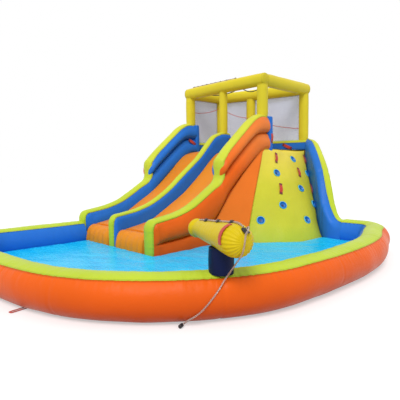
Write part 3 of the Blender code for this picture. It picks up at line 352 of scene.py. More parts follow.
def split(tree, vector):
    node = tree.nodes.new("ShaderNodeSeparateXYZ")
    tree.links.new(vector, node.inputs[0])
    return node.outputs


def shadeNode(tree, colour, factor):
    # the colour multiplied by a grey factor
    node = tree.nodes.new("ShaderNodeMix")
    node.data_type = "RGBA"
    node.blend_type = "MULTIPLY"
    node.inputs["Factor"].default_value = 1.0
    if isinstance(colour, tuple):
        node.inputs["A"].default_value = (*colour, 1.0)
    else:
        tree.links.new(colour, node.inputs["A"])
    grey = tree.nodes.new("ShaderNodeCombineColor")
    for name in ("Red", "Green", "Blue"):
        tree.links.new(factor, grey.inputs[name])
    tree.links.new(grey.outputs["Color"], node.inputs["B"])
    return node.outputs["Result"]


def mixNode(tree, factor, first, second):
    node = tree.nodes.new("ShaderNodeMix")
    node.data_type = "RGBA"
    tree.links.new(factor, node.inputs["Factor"])
    for key, colour in (("A", first), ("B", second)):
        if isinstance(colour, tuple):
            node.inputs[key].default_value = (*colour, 1.0)
        else:
            tree.links.new(colour, node.inputs[key])
    return node.outputs["Result"]


def bumpNode(tree, shader, height, strength, distance):
    node = tree.nodes.new("ShaderNodeBump")
    node.inputs["Strength"].default_value = strength
    node.inputs["Distance"].default_value = distance
    tree.links.new(height, node.inputs["Height"])
    tree.links.new(node.outputs["Normal"], shader.inputs["Normal"])


def newFinish(name, roughness, coat=0.0, sheen=0.0):
    made = bpy.data.materials.new(name)
    made.use_nodes = True
    shader = made.node_tree.nodes["Principled BSDF"]
    shader.inputs["Roughness"].default_value = roughness
    shader.inputs["Coat Weight"].default_value = coat
    shader.inputs["Coat Roughness"].default_value = 0.35
    shader.inputs["Sheen Weight"].default_value = sheen
    return made, made.node_tree, shader


def attributeNode(tree, name):
    node = tree.nodes.new("ShaderNodeAttribute")
    node.attribute_name = name
    return node.outputs["Fac"]


def setColour(tree, shader, colour, tone):
    tree.links.new(shadeNode(tree, colour, tone), shader.inputs["Base Color"])


# threads, stitches and folds are counted per metre, and seams measured in metres
coatedCloth = {
    "roughness": 0.36, "specular": 0.14, "bump": 0.55, "bumpDepth": 0.012,
    "threads": 2200.0, "threadDepth": 0.012,
    "folds": 30.0, "foldDepth": 1.5, "foldFade": -22.0,
    "stitches": 140.0, "stitchShare": 0.62, "stitchLine": 0.010, "stitchHalf": 0.0016,
}


def paintedShadingByHeight(tree, place, levels):
    # painted light and shade: a colour that changes with the height, painting shade low down and light higher up;
    # levels: (height, colour)
    highest = 2.0
    ramp = tree.nodes.new("ShaderNodeValToRGB")
    tree.links.new(mathNode(tree, "DIVIDE", split(tree, place)["Z"], highest), ramp.inputs["Fac"])
    stops = ramp.color_ramp.elements
    for index, (height, colour) in enumerate(levels):
        stop = stops[index] if index < 2 else stops.new(height / highest)
        stop.position = height / highest
        stop.color = (*colour, 1.0)
    return ramp.outputs["Color"]


def stitched(tree, height, tone):
    # folds that run out of a seam, the dashed line of its thread, and painted shade that darkens the cloth near the
    # seam
    seam, run = attributeNode(tree, "seam"), attributeNode(tree, "run")
    near = mathNode(tree, "POWER", 2.718, times(tree, seam, coatedCloth["foldFade"]))
    line = tree.nodes.new("ShaderNodeCombineXYZ")
    tree.links.new(times(tree, run, coatedCloth["folds"]), line.inputs["X"])
    tree.links.new(times(tree, seam, 5.0), line.inputs["Y"])
    folds = times(tree, noiseNode(tree, line.outputs[0], 1.0, 3.0, 0.6), near)
    height = plus(tree, height, times(tree, folds, coatedCloth["foldDepth"]))
    offLine = mathNode(tree, "ABSOLUTE", mathNode(tree, "SUBTRACT", seam, coatedCloth["stitchLine"]))
    onLine = mathNode(tree, "LESS_THAN", offLine, coatedCloth["stitchHalf"])
    along = mathNode(tree, "FRACT", times(tree, run, coatedCloth["stitches"]))
    thread = times(tree, onLine, mathNode(tree, "LESS_THAN", along, coatedCloth["stitchShare"]))
    height = plus(tree, height, times(tree, thread, 0.10))
    tone = times(tree, tone, mathNode(tree, "SUBTRACT", 1.0, times(tree, thread, 0.28)))
    # painted shade: the cloth darkens towards the seam
    return height, times(tree, tone, mapNode(tree, seam, 0.0, 0.02, 0.86, 1.0))


def coatedFabric(name, colour, levels=(), wrinkles=0.5):
    # PVC-coated woven cloth: fine weave, soft wrinkles, folds and thread rows along the seams
    roughness = coatedCloth["roughness"]
    made, tree, shader = newFinish(name, roughness)
    shader.inputs["Specular IOR Level"].default_value = coatedCloth["specular"]
    place, uv = coordsOf(tree)
    height = times(tree, noiseNode(tree, place, 7.0, 5.0, 0.55, 0.8), wrinkles)
    small = noiseNode(tree, place, 34.0, 3.0, 0.6, 0.4)
    height = plus(tree, height, times(tree, small, 0.16 * wrinkles))
    across = split(tree, uv)
    warp = mathNode(tree, "SINE", times(tree, across["X"], coatedCloth["threads"]))
    weft = mathNode(tree, "SINE", times(tree, across["Y"], coatedCloth["threads"]))
    weave = times(tree, warp, weft)
    height = plus(tree, height, times(tree, weave, coatedCloth["threadDepth"]))
    tone = spread(tree, noiseNode(tree, place, 1.7, 3.0), 0.94, 1.05)
    tone = times(tree, tone, mapNode(tree, weave, -1.0, 1.0, 0.97, 1.02))
    height, tone = stitched(tree, height, tone)
    # where levels are given, the colour carries painted light and shade by height
    setColour(tree, shader, paintedShadingByHeight(tree, place, levels) if levels else colour, tone)
    tree.links.new(spread(tree, noiseNode(tree, place, 5.0, 4.0), roughness - 0.05, roughness + 0.08),
                   shader.inputs["Roughness"])
    bumpNode(tree, shader, height, coatedCloth["bump"], coatedCloth["bumpDepth"])
    return made


def webbing(name, colour):
    # ribbed polyester strap
    made, tree, shader = newFinish(name, 0.62, sheen=0.25)
    place, uv = coordsOf(tree)
    across = split(tree, uv)
    rib = mathNode(tree, "SINE", times(tree, across["Y"], 1600.0))
    edge = mathNode(tree, "SINE", times(tree, across["X"], 900.0))
    height = times(tree, rib, edge)
    tone = times(tree, mapNode(tree, height, -1.0, 1.0, 0.78, 1.06),
                 spread(tree, noiseNode(tree, place, 40.0, 3.0), 0.88, 1.06))
    setColour(tree, shader, colour, tone)
    bumpNode(tree, shader, height, 0.6, 0.0008)
    return made


def mouldedPlastic(name, colour, roughness=0.42):
    # moulded parts with a fine grain and a patchy shine
    made, tree, shader = newFinish(name, roughness, coat=0.1)
    place, _ = coordsOf(tree)
    setColour(tree, shader, colour, spread(tree, noiseNode(tree, place, 25.0, 4.0), 0.85, 1.12))
    tree.links.new(spread(tree, noiseNode(tree, place, 60.0, 3.0), roughness - 0.08, roughness + 0.1),
                   shader.inputs["Roughness"])
    bumpNode(tree, shader, noiseNode(tree, place, 420.0, 2.0), 0.2, 0.0006)
    return made


def clearVinyl(name, colour, through):
    # clear PVC hose with a faint haze
    made, tree, shader = newFinish(name, 0.16, coat=0.3)
    shader.inputs["Transmission Weight"].default_value = through
    shader.inputs["IOR"].default_value = 1.45
    place, _ = coordsOf(tree)
    haze = noiseNode(tree, place, 55.0, 3.0)
    setColour(tree, shader, colour, spread(tree, haze, 0.88, 1.04))
    tree.links.new(spread(tree, haze, 0.10, 0.26), shader.inputs["Roughness"])
    bumpNode(tree, shader, haze, 0.12, 0.001)
    return made


def netCloth(name, colour):
    # twisted thread of the window nets
    made, tree, shader = newFinish(name, 0.75, sheen=0.15)
    place, _ = coordsOf(tree)
    setColour(tree, shader, colour, spread(tree, noiseNode(tree, place, 3.0, 3.0), 0.90, 1.06))
    bumpNode(tree, shader, noiseNode(tree, place, 300.0, 2.0), 0.4, 0.0008)
    return made


def poolCloth(name, colour, highlightColour):
    # the pool's slack liner: glossy, with fine ripples whose crests carry a painted highlight
    made, tree, shader = newFinish(name, 0.30)
    shader.inputs["Specular IOR Level"].default_value = 0.12
    place, _ = coordsOf(tree)
    turn = tree.nodes.new("ShaderNodeMapping")
    turn.inputs["Rotation"].default_value = (0.0, 0.0, math.radians(40))
    turn.inputs["Scale"].default_value = (0.45, 1.3, 1.0)
    tree.links.new(place, turn.inputs["Vector"])
    ripples = noiseNode(tree, turn.outputs[0], 3.6, 3.0, 0.5, 1.0)
    fine = noiseNode(tree, turn.outputs[0], 24.0, 3.0, 0.5, 0.8)
    height = plus(tree, ripples, times(tree, fine, 0.2))
    # painted highlight: the ripples' crests are mixed towards a paler blue
    crestHighlight = mapNode(tree, height, 0.50, 0.85, 0.0, 0.6)
    tree.links.new(mixNode(tree, crestHighlight, colour, highlightColour), shader.inputs["Base Color"])
    tree.links.new(spread(tree, fine, 0.20, 0.34), shader.inputs["Roughness"])
    bumpNode(tree, shader, height, 0.35, 0.02)
    return made


def holdRubber(name, centre, wall, rim):
    # a foothold's rings, by the distance from its middle, which the mesh carries: a cyan rim round a blue cup, with
    # painted shade darkening the cup's middle
    made, tree, shader = newFinish(name, 0.38, coat=0.15)
    run = attributeNode(tree, "run")
    # painted shade: the cup turns near black towards its middle
    inner = mixNode(tree, mapNode(tree, run, 0.012, 0.030, 0.0, 1.0), centre, wall)
    whole = mixNode(tree, mapNode(tree, run, 0.050, 0.055, 0.0, 1.0), inner, rim)
    place, _ = coordsOf(tree)
    grain = noiseNode(tree, place, 90.0, 3.0)
    setColour(tree, shader, whole, spread(tree, grain, 0.9, 1.06))
    bumpNode(tree, shader, grain, 0.2, 0.001)
    return made


finishes = {
    # painted shade darkens the orange towards the ground, and painted light makes it paler and yellower high up
    "orange": coatedFabric("orangeCloth", (0.850, 0.138, 0.006),
                           ((0.0, (0.52, 0.060, 0.004)), (0.14, (0.74, 0.098, 0.005)), (0.30, (0.86, 0.125, 0.006)),
                            (1.10, (0.86, 0.130, 0.008)), (1.55, (0.88, 0.220, 0.038)))),
    "panelOrange": coatedFabric("panelOrangeCloth", (0.95, 0.195, 0.018)),
    "laneOrange": coatedFabric("laneCloth", (0.84, 0.270, 0.014), wrinkles=0.9),
    "blue": coatedFabric("blueCloth", (0.024, 0.175, 0.640)),
    # painted shade darkens the lime towards the ground, and painted light makes it paler high up
    "lime": coatedFabric("limeCloth", (0.560, 0.650, 0.040),
                         ((0.0, (0.28, 0.52, 0.06)), (0.30, (0.52, 0.66, 0.038)), (0.60, (0.54, 0.65, 0.038)),
                          (1.90, (0.66, 0.68, 0.055)))),
    "yellow": coatedFabric("yellowCloth", (0.760, 0.620, 0.030)),
    "cannonYellow": coatedFabric("cannonCloth", (0.720, 0.540, 0.006)),
    # painted shade in green darkens the climbing face's foot, and painted light makes its top paler
    "climb": coatedFabric("climbCloth", (0.640, 0.580, 0.035),
                          ((0.0, (0.40, 0.54, 0.05)), (0.30, (0.58, 0.58, 0.04)), (0.85, (0.64, 0.60, 0.04)),
                           (1.35, (0.90, 0.72, 0.08))), wrinkles=1.0),
    "navy": coatedFabric("navyCloth", (0.001, 0.007, 0.052)),
    # the second, paler blue is the painted highlight on the liner's ripple crests
    "pool": poolCloth("poolLiner", (0.008, 0.54, 0.97), (0.045, 0.68, 1.0)),
    "red": webbing("redWebbing", (0.640, 0.036, 0.006)),
    # painted shade: the doubled ends of the handles take a dark red for the shadow of the fold
    "foldShadeRed": webbing("foldShadeWebbing", (0.20, 0.014, 0.008)),
    "net": netCloth("netCloth", (0.44, 0.47, 0.62)),
    "black": mouldedPlastic("blackPlastic", (0.010, 0.010, 0.012)),
    "clear": clearVinyl("clearHose", (0.66, 0.52, 0.46), through=0.62),
    # the near-black middle of the holds is painted shade in their hollow
    "hold": holdRubber("holdRubber", (0.002, 0.030, 0.130), (0.006, 0.16, 0.52), (0.07, 0.52, 0.84)),
}
print("finishes made")


# Cords: the supply hose and the cord past the windows

supplyHose = {
    "radius": 0.006,
    "valve": ((2.912, -2.9608, 0.7159), (2.9231, -2.9618, 0.7293)),
    "route": ((2.933, -2.967, 0.732), (2.943, -2.975, 0.733), (2.948, -2.984, 0.724), (2.947, -2.992, 0.710),
              (2.941, -2.998, 0.696), (2.937, -3.000, 0.682), (2.935, -3.001, 0.665), (2.932, -3.002, 0.639),
              (2.928, -3.004, 0.612), (2.921, -3.003, 0.585), (2.908, -2.999, 0.558), (2.887, -2.991, 0.532),
              (2.861, -2.980, 0.507), (2.833, -2.969, 0.480), (2.803, -2.957, 0.451), (2.772, -2.947, 0.419),
              (2.740, -2.936, 0.386), (2.708, -2.926, 0.353), (2.690, -2.941, 0.318), (2.6885, -2.977, 0.281),
              (2.6835, -3.010, 0.246), (2.671, -3.044, 0.207), (2.651, -3.078, 0.162), (2.621, -3.107, 0.118),
              (2.586, -3.129, 0.083), (2.552, -3.143, 0.058), (2.522, -3.151, 0.036), (2.506, -3.155, 0.022),
              (2.499, -3.163, 0.0165), (2.503, -3.174, 0.016)),
    "connectorLength": 0.045,
    # the connector's ribs, as (share of its length, radius)
    "ribs": ((0.0, 0.0085), (0.10, 0.0100), (0.12, 0.0138), (0.24, 0.0138), (0.26, 0.0120), (0.34, 0.0120),
             (0.36, 0.0140), (0.48, 0.0140), (0.50, 0.0120), (0.58, 0.0120), (0.60, 0.0140), (0.88, 0.0140),
             (0.92, 0.0110), (1.0, 0.0085)),
}


def inRow(points):
    return [Vector(point) + flat(0.0, -towerSetback) for point in points]


def addSupplyHose():
    route = inRow(supplyHose["valve"] + supplyHose["route"])
    hose, path = addTube("supplyHose", route, supplyHose["radius"], sides=14, stations=190, shift=False)
    way = (route[-1] - route[-2]).normalized()
    line = [route[-1] + way * (supplyHose["connectorLength"] * share) for share in (0.006, 0.35, 0.7, 1.0)]
    connector, _ = addTube("supplyConnector", line, supplyHose["ribs"], sides=16, stations=56, shift=False)
    dress(connector, finishes["black"], nodes=("supply_connector",))
    hose.data.materials.clear()
    hose.data.materials.append(finishes["clear"])
    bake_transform(hose)
    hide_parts("supply_hose")
    lengthOf(path)
    [tuple(point) for point in path]


addSupplyHose()
print("supply hose laid")


windowCord = {
    "radius": 0.005,
    "heights": (2.12, 2.25, 2.02, 1.78),
    "sag": 0.04,
    "stops": ((-0.808, 0.08205), (-0.7227, 0.7117), (-0.172, 0.83995), (0.726, 1.1618)),
}


def addWindowCord():
    # it sags between the posts
    stops = [flat(*stop) + upward * height for stop, height in zip(windowCord["stops"], windowCord["heights"])]
    points, steps = [], 6
    for start, end in zip(stops, stops[1:]):
        for step in range(steps):
            share = step / steps
            points.append(start.lerp(end, share) - upward * (windowCord["sag"] * 4 * share * (1 - share)))
    points.append(stops[-1])
    route = inRow(points)
    cord, path = addTube("windowCord", route, windowCord["radius"], sides=10, stations=120, shift=False)
    dress(cord, finishes["red"], nodes=("window_cord",))
    lengthOf(path)
    [tuple(point) for point in path]


addWindowCord()
print("window cord hung")


# The slide's walls: a guard on a rail on a base, with a lime strip over the top

slideWall = {
    "centre": 0.808,
    "half": 0.1145,
    # depth of the rounded top, how far down it the strip reaches, how far over it the strip lies
    "edge": 0.085, "droop": 0.030, "inset": 0.007,
    "swell": 0.030, "baseSwell": 0.014,
    # rounded edges, as (radius, how far in): at the grooves and at the base's foot and top
    "railRound": (0.075, 0.062), "guardRound": (0.080, 0.064), "footRound": (0.04, 0.016), "baseRound": (0.055, 0.046),
    # from the tower to the free end: the base, the upper tubes, the guard's step down, the end
    "start": 0.10, "blockStart": 0.012, "step": -1.034, "end": -2.228,
    "railCreases": (0.55, 1.25), "crease": 0.003,
    "folds": clothFolds(0.0035, 0.22, 0.0035, 0.05, 0.035),
    "railTop": ((-2.228, 0.400), (-2.205, 0.455), (-2.160, 0.498), (-2.041, 0.520), (-1.80, 0.560), (-1.531, 0.650),
                (-1.25, 0.810), (-1.03, 0.955), (-0.90, 1.085), (-0.70, 1.260), (-0.46, 1.455), (-0.30, 1.570),
                (-0.17, 1.620), (0.10, 1.635)),
    "railFoot": ((-2.228, 0.215), (-2.10, 0.220), (-1.50, 0.268), (-1.25, 0.360), (-1.09, 0.500), (-0.88, 0.760),
                 (-0.559, 1.040), (-0.16, 1.330), (0.10, 1.360)),
    "strip": ((-2.228, 0.0), (-2.228, 0.10), (-2.228, 0.20), (-2.228, 0.30), (-2.228, 0.40), (-2.208, 0.460),
              (-2.160, 0.502), (-2.041, 0.520), (-1.92, 0.538), (-1.80, 0.560), (-1.66, 0.600), (-1.531, 0.650),
              (-1.39, 0.727), (-1.25, 0.810), (-1.13, 0.880), (-1.062, 0.930), (-1.030, 0.990), (-1.028, 1.07),
              (-1.033, 1.15), (-1.018, 1.222), (-0.965, 1.278), (-0.83, 1.405), (-0.715, 1.501), (-0.60, 1.597),
              (-0.49, 1.686), (-0.38, 1.775), (-0.315, 1.822), (-0.25, 1.858), (-0.18, 1.888), (-0.11, 1.904),
              (-0.05, 1.906), (0.004, 1.906)),
}

middleWall = {
    "half": 0.0795,
    "edge": 0.070, "droop": 0.0215, "inset": 0.006,
    "swell": 0.010,
    "start": 0.10, "end": -2.228,
    "creases": (0.9, 1.6), "crease": 0.002,
    "folds": clothFolds(0.0035, 0.20, 0.003, 0.05, 0.035),
    "strip": ((-2.228, 0.0), (-2.228, 0.12), (-2.228, 0.26), (-2.228, 0.40), (-2.208, 0.460), (-2.160, 0.502),
              (-2.041, 0.520), (-1.80, 0.560), (-1.531, 0.650), (-1.25, 0.810), (-0.949, 1.039), (-0.631, 1.279),
              (-0.46, 1.450), (-0.290, 1.611), (-0.167, 1.665), (-0.080, 1.690), (0.10, 1.690)),
}

wallGround = ((-3.0, 0.0), (1.0, 0.0))


def slopeOf(table, place, step=0.02):
    # the cosine of a table's slope
    rise = lookUp(table, place + step) - lookUp(table, place - step)
    return 1.0 / math.sqrt(1.0 + (rise / (2 * step)) ** 2)


def wallBand(name, side, centre, low, high, ends, half, footRound, topRound, swell, stripEdge,
             runTable, stations):
    # One tube of a wall, as the half on one side of the wall's middle. low, high: tables of
    # heights. ends: where it starts and ends, and the free end's (place, depth, share of the
    # depth that the width loses). footRound and topRound: (radius, how far in) at a place along
    # the wall. stripEdge: how far under the top the lime strip ends.
    start, end, freeEnd = ends
    faces = 26

    def section(y):
        bottom, top = lookUp(low, y), lookUp(high, y)
        tilt = slopeOf(high, y)
        footRadius, footIn = footRound(y)
        topRadius, topIn = topRound(y)
        edge = stripEdge(y) / tilt
        endBack = tubeEdge(y - freeEnd[0], freeEnd[1]) * freeEnd[2]
        points = [(0.0, bottom, 0.1)]
        for k in range(faces + 1):
            share = (1 - math.cos(math.pi * k / faces)) / 2
            z = bottom + (top - bottom) * share
            under = min(1.0, (z - bottom) / max(0.02, top - topRadius * 0.9 - bottom))
            width = half + swell(y) * math.sin(math.pi * under) ** 0.8
            width -= tubeEdge((z - bottom) * tilt, footRadius) / footRadius * footIn
            width -= tubeEdge((top - z) * tilt, topRadius) / topRadius * topIn
            width = max(0.0, width - endBack)
            points.append((width, z, min(z - bottom, abs(top - z - edge) * tilt)))
        points.append((0.0, top, 0.0))
        return points

    # the stations stand closer towards the free end
    places = [end + (start - end) * (j / stations) ** 1.15 for j in range(stations + 1)]
    sections = [section(y) for y in places]
    runs = [lookUp(runTable, y) for y in places]
    count = faces + 2

    def shape(u, v):
        j = round(v * stations)
        i = round(u * (count + 1)) % (count + 1)
        width, z, seam = sections[j][i]
        return Vector((centre + side * width, places[j], z)), seam
    return addSkin(name, count + 1, stations, shape, capRings=1, runs=runs)


def stripPath(outline, stations=260):
    # the strip's middle line, and the length along it at each place of the wall
    path = evenly([Vector(point) for point in outline], stations + 1)
    step = lengthOf(path) / stations
    table = [(path[0].x, 0.0)]
    for index, point in enumerate(path):
        if point.x > table[-1][0] + 1e-5:
            table.append((point.x, index * step))
    return path, [index * step for index in range(stations + 1)], table


def underStrip(path, inset, lowest, start, end):
    # heights just under the strip's middle line, between two places of the wall
    return [(point.x, point.y - inset) for point in path if point.y >= lowest and start < point.x < end]


# lift over the tubes, more in the middle, and what it gains in width down the guard's step;
# the step lies over a height, and the width changes over so many stations each way
limeStrip = {"lift": 0.003, "crown": 0.004, "widen": 0.45, "stepOver": 0.8, "fade": 14, "thick": 0.012}


def addStrip(name, path, runs, centre, wall):
    # the lime strip: a band over a wall's rounded top and down its end
    half, edge = wall["half"], wall["edge"]
    stations, steps = len(path) - 1, 15
    ways = waysOf(path)
    steep = [way.y ** 6 if point.y > limeStrip["stepOver"] else 0.0 for way, point in zip(ways, path)]
    fade = limeStrip["fade"]
    steep = [sum(steep[max(0, i - fade):i + fade + 1]) / (2 * fade + 1) for i in range(stations + 1)]

    def section(share):
        # the strip across its middle line
        limit = math.acos(1 - wall["droop"] / edge) * (1.0 + limeStrip["widen"] * share)
        top, reached = [], []
        for k in range(2 * steps + 1):
            angle = limit * (1 - k / steps)
            out = Vector((edge * math.sin(angle), half * math.cos(angle))).normalized()
            raised = limeStrip["lift"] + limeStrip["crown"] * math.cos(angle * math.pi / 2 / limit)
            top.append((half * math.sin(angle) + out.x * raised, edge * (math.cos(angle) - 1) + out.y * raised))
            reached.append((limit - abs(angle)) * (half + edge) / 2)
        under = [(a * 0.97, b - limeStrip["thick"]) for a, b in top[::-3]]
        return top + under, reached + [0.0] * len(under)
    sections = [section(share) for share in steep]
    count = len(sections[0][0])

    def shape(u, v):
        j = round(v * stations)
        i = round(u * count) % count
        (a, b), seam = sections[j][0][i], sections[j][1][i]
        way = ways[j]
        out = Vector((0.0, -way.y, way.x))
        return Vector((centre + a, path[j].x, path[j].y)) + out * b, seam
    return addSkin(name, count, stations, shape, capRings=1, runs=runs)


# the blue end of the guard, beside the post
guardBlock = {"front": 0.005, "back": 0.099, "low": 1.33, "high": 1.880, "over": 0.024,
              "folds": clothFolds(0.002, 0.1, 0.001)}


def outerWall(side, sign):
    wall = slideWall
    half, edge, inset = wall["half"], wall["edge"], wall["inset"]
    centre, seed = sign * wall["centre"], 3.1 * sign
    path, runs, runTable = stripPath(wall["strip"])
    end, step, ratio = wall["end"] + inset, wall["step"] + inset, half / edge
    railFoot = smoothTable(wall["railFoot"])
    railTop = underStrip(path, inset, 0.40, -3.0, wall["step"] - 0.03)
    railTop += [(y, z) for y, z in smoothTable(wall["railTop"]) if y > wall["step"]]
    guardTop = underStrip(path, inset, 1.215, wall["step"] + 0.012, 1.0)
    guardFoot = [(y, z - 0.004) for y, z in railTop]
    baseTop = [(y, z + 0.004) for y, z in railFoot]
    baseEnds = (wall["start"], end, (end, edge, ratio))
    railEnds = (wall["blockStart"], end, (end, edge, ratio))
    guardEnds = (wall["blockStart"], step, (step, edge, ratio))

    def faded(y):
        # the grooves run out towards the wall's end
        return min(1.0, max(0.0, (y - end - 0.03) / 0.16))

    def fading(key):
        return lambda y: (wall[key][0], wall[key][1] * faded(y))

    def railTopRound(y):
        # under the guard the rail ends in a groove, and beyond it in a round top
        share = min(1.0, max(0.0, (y - (wall["step"] - 0.01)) / 0.02))
        radius, back = wall["guardRound"]
        return (radius * share + edge * (1 - share), back * share + half * (1 - share))

    def railStrip(y):
        return 0.0 if y > wall["step"] else wall["droop"] - inset

    for part, finish in (("inner", "blue"), ("outer", "orange")):
        away = sign if part == "outer" else -sign
        rail = wallBand("rail", away, centre, railFoot, railTop, railEnds, half, fading("railRound"),
                        railTopRound, lambda y: wall["swell"] * faded(y), railStrip, runTable, stations=190)
        guard = wallBand("guard", away, centre, guardFoot, guardTop, guardEnds, half,
                         lambda y: wall["guardRound"], lambda y: (edge, half), lambda y: wall["swell"],
                         lambda y: wall["droop"] - inset, runTable, stations=110)
        base = wallBand("base", away, centre, wallGround, baseTop, baseEnds, half, fading("footRound"),
                        fading("baseRound"), lambda y: wall["baseSwell"] * faded(y) if y < -1.3 else 0.0,
                        lambda y: 0.0, runTable, stations=120)
        for made, creases in ((rail, wall["railCreases"]), (guard, ()), (base, ())):
            ruffle(made, wall["folds"], seed, creases=creases, crease=wall["crease"])
        whole = join(side + "Wall" + part.capitalize(), [rail, guard, base])
        dress(whole, finishes[finish], nodes=(side + "_wall_" + part,))
    strip = addStrip(side + "WallStrip", path, runs, centre, wall)
    ruffle(strip, wall["folds"], seed)
    dress(strip, finishes["lime"], nodes=(side + "_wall_trim",))

    def blockShape(u, v):
        swell = math.sin(math.pi * v) ** 0.3 if 0 < v < 1 else 0.0
        a, b = squareAt(2 * math.pi * u, 0.35, 0.45)
        a *= (half + guardBlock["over"]) * (0.93 + 0.07 * swell)
        b *= (guardBlock["back"] - guardBlock["front"]) / 2
        z = guardBlock["low"] + (guardBlock["high"] - guardBlock["low"]) * v
        return Vector((centre + a, (guardBlock["front"] + guardBlock["back"]) / 2 + b, z)), 0.02
    endBlock = addSkin(side + "GuardEnd", 32, 44, blockShape, capRings=2, dome=0.004)
    ruffle(endBlock, guardBlock["folds"])
    dress(endBlock, finishes["blue"])


outerWall("left", -1)
outerWall("right", 1)
print("outer walls filled")


def addMiddleWall():
    wall = middleWall
    path, runs, runTable = stripPath(wall["strip"])
    top = underStrip(path, wall["inset"], 0.40, -3.0, 1.0)
    end = wall["end"] + wall["inset"]
    ends = (wall["start"], end, (end, wall["edge"], wall["half"] / wall["edge"]))
    creased = {"creases": wall["creases"], "crease": wall["crease"]}
    halves = []
    for away in (-1, 1):
        made = wallBand("half", away, 0.0, wallGround, top, ends, wall["half"], lambda y: (0.03, 0.01),
                        lambda y: (wall["edge"], wall["half"]), lambda y: wall["swell"],
                        lambda y: wall["droop"] - wall["inset"], runTable, stations=180)
        ruffle(made, wall["folds"], 4.2, **creased)
        halves.append(made)
    body = join("middleWallBody", halves)
    dress(body, finishes["blue"], nodes=("middle_wall",))
    strip = addStrip("middleWallStrip", path, runs, 0.0, wall)
    ruffle(strip, wall["folds"], 4.2, **creased)
    dress(strip, finishes["lime"], nodes=("middle_wall_trim",))


addMiddleWall()
print("middle wall filled")


# Lanes and the bolsters at their feet

lane = {
    "inside": 0.0798,
    "outside": 0.6932,
    "surface": ((-2.051, 0.318), (-1.80, 0.360), (-1.631, 0.400), (-1.450, 0.491), (-1.261, 0.600), (-0.960, 0.780),
                (-0.631, 1.049), (-0.468, 1.202), (-0.301, 1.330), (-0.156, 1.376), (0.0, 1.390), (0.10, 1.390)),
    "start": 0.10, "end": -2.051,
    "crown": 0.012, "dip": 0.030, "edgeRound": 0.05, "deep": 0.20,
    "folds": clothFolds(0.003, 0.25, 0.004, 0.07, 0.03),
}
bolster = {
    "outline": ((-2.052, 0.0), (-2.052, 0.16), (-2.056, 0.280), (-2.076, 0.312), (-2.108, 0.318), (-2.150, 0.306),
                (-2.192, 0.272), (-2.222, 0.222), (-2.236, 0.160), (-2.236, 0.100), (-2.222, 0.045), (-2.196, 0.0)),
    "middle": -2.135,
    "roundEnd": 0.085, "gather": 0.006, "gathers": 5,
    "folds": clothFolds(0.005, 0.12, 0.004, 0.05, 0.03),
}


def addLane(side, sign):
    table = smoothTable(lane["surface"])
    start, end = lane["inside"], lane["outside"]
    tops, stations = 26, 150

    def shape(u, v):
        y = lane["start"] + (lane["end"] - lane["start"]) * v
        i = round(u * (tops + 4))
        surface = lookUp(table, y)
        if i <= tops:
            share = i / tops
            x = start + (end - start) * share
            edge = min(x - start, end - x)
            z = surface + lane["crown"] * math.sin(math.pi * share)
            z -= tubeEdge(edge, lane["edgeRound"]) / lane["edgeRound"] * lane["dip"]
            return Vector((sign * x, y, z)), edge
        under = surface - lane["deep"]
        x = (end, (start + end) / 2, start, start)[min(i - tops - 1, 3)]
        z = under if i < tops + 4 else surface - lane["dip"]
        return Vector((sign * x, y, z)), 0.1
    skin = addSkin(side + "Lane", tops + 4, stations, shape, capRings=1)
    ruffle(skin, lane["folds"], 11.0 * sign)
    dress(skin, finishes["laneOrange"], nodes=(side + "_lane",))


def addBolster(side, sign):
    around, stations = 41, 56
    outline = evenly([Vector(point) for point in bolster["outline"]], around)
    start, end = lane["inside"] + 0.002, lane["outside"] - 0.002

    def shape(u, v):
        x = start + (end - start) * v
        back = min(x - start, end - x)
        share = tubeEdge(back, bolster["roundEnd"]) / bolster["roundEnd"]
        point = outline[round(u * around) % around]
        pulled = point.lerp(Vector((bolster["middle"], point.y * 0.84)), share * 0.62)
        fold = bolster["gather"] * math.sin(v * 2 * math.pi * bolster["gathers"] + 0.8)
        fold *= max(0.0, -(point.x + 2.12)) / 0.1
        return Vector((sign * x, pulled.x + fold * 0.6, max(0.0, pulled.y))), min(back, 0.05)
    skin = addSkin(side + "Bolster", around, stations, shape, capRings=4)
    ruffle(skin, bolster["folds"], 17.0 * sign)
    dress(skin, finishes["laneOrange"], nodes=(side + "_landing",))


for side, sign in (("left", -1), ("right", 1)):
    addLane(side, sign)
    addBolster(side, sign)
print("lanes laid")


# Tower: the core with its upright channels, the platform floor and the bumper

tower = {
    "left": -0.9225, "right": 0.758, "cornerRight": 0.90, "cornerFront": 1.06, "backRight": 1.30, "backLeft": 0.87,
    "front": 0.1003, "top": 1.39, "channel": 0.26, "bulge": 0.016, "middle": (-0.05, 0.62),
    "folds": clothFolds(0.002, 0.25, 0.002, 0.02, 0.05),
    "floorInset": 0.19, "floorMiddle": (-0.02, 0.52), "floorFolds": clothFolds(0.003, 0.2, 0.0015),
}
bumper = {
    "thick": 0.20, "top": 1.58, "stripDrop": 0.066, "turn": 0.07, "creases": (0.42, 0.9, 1.5, 2.1),
    "folds": clothFolds(0.003, 0.16, 0.003, 0.04, 0.03),
    "stripFolds": clothFolds(0.0015, 0.15, 0.002, 0.02, 0.03),
}


def backLine(x, inset=0.0):
    slope = (tower["backRight"] - tower["backLeft"]) / (tower["cornerRight"] - tower["left"])
    return tower["backLeft"] + (x - tower["left"]) * slope - inset


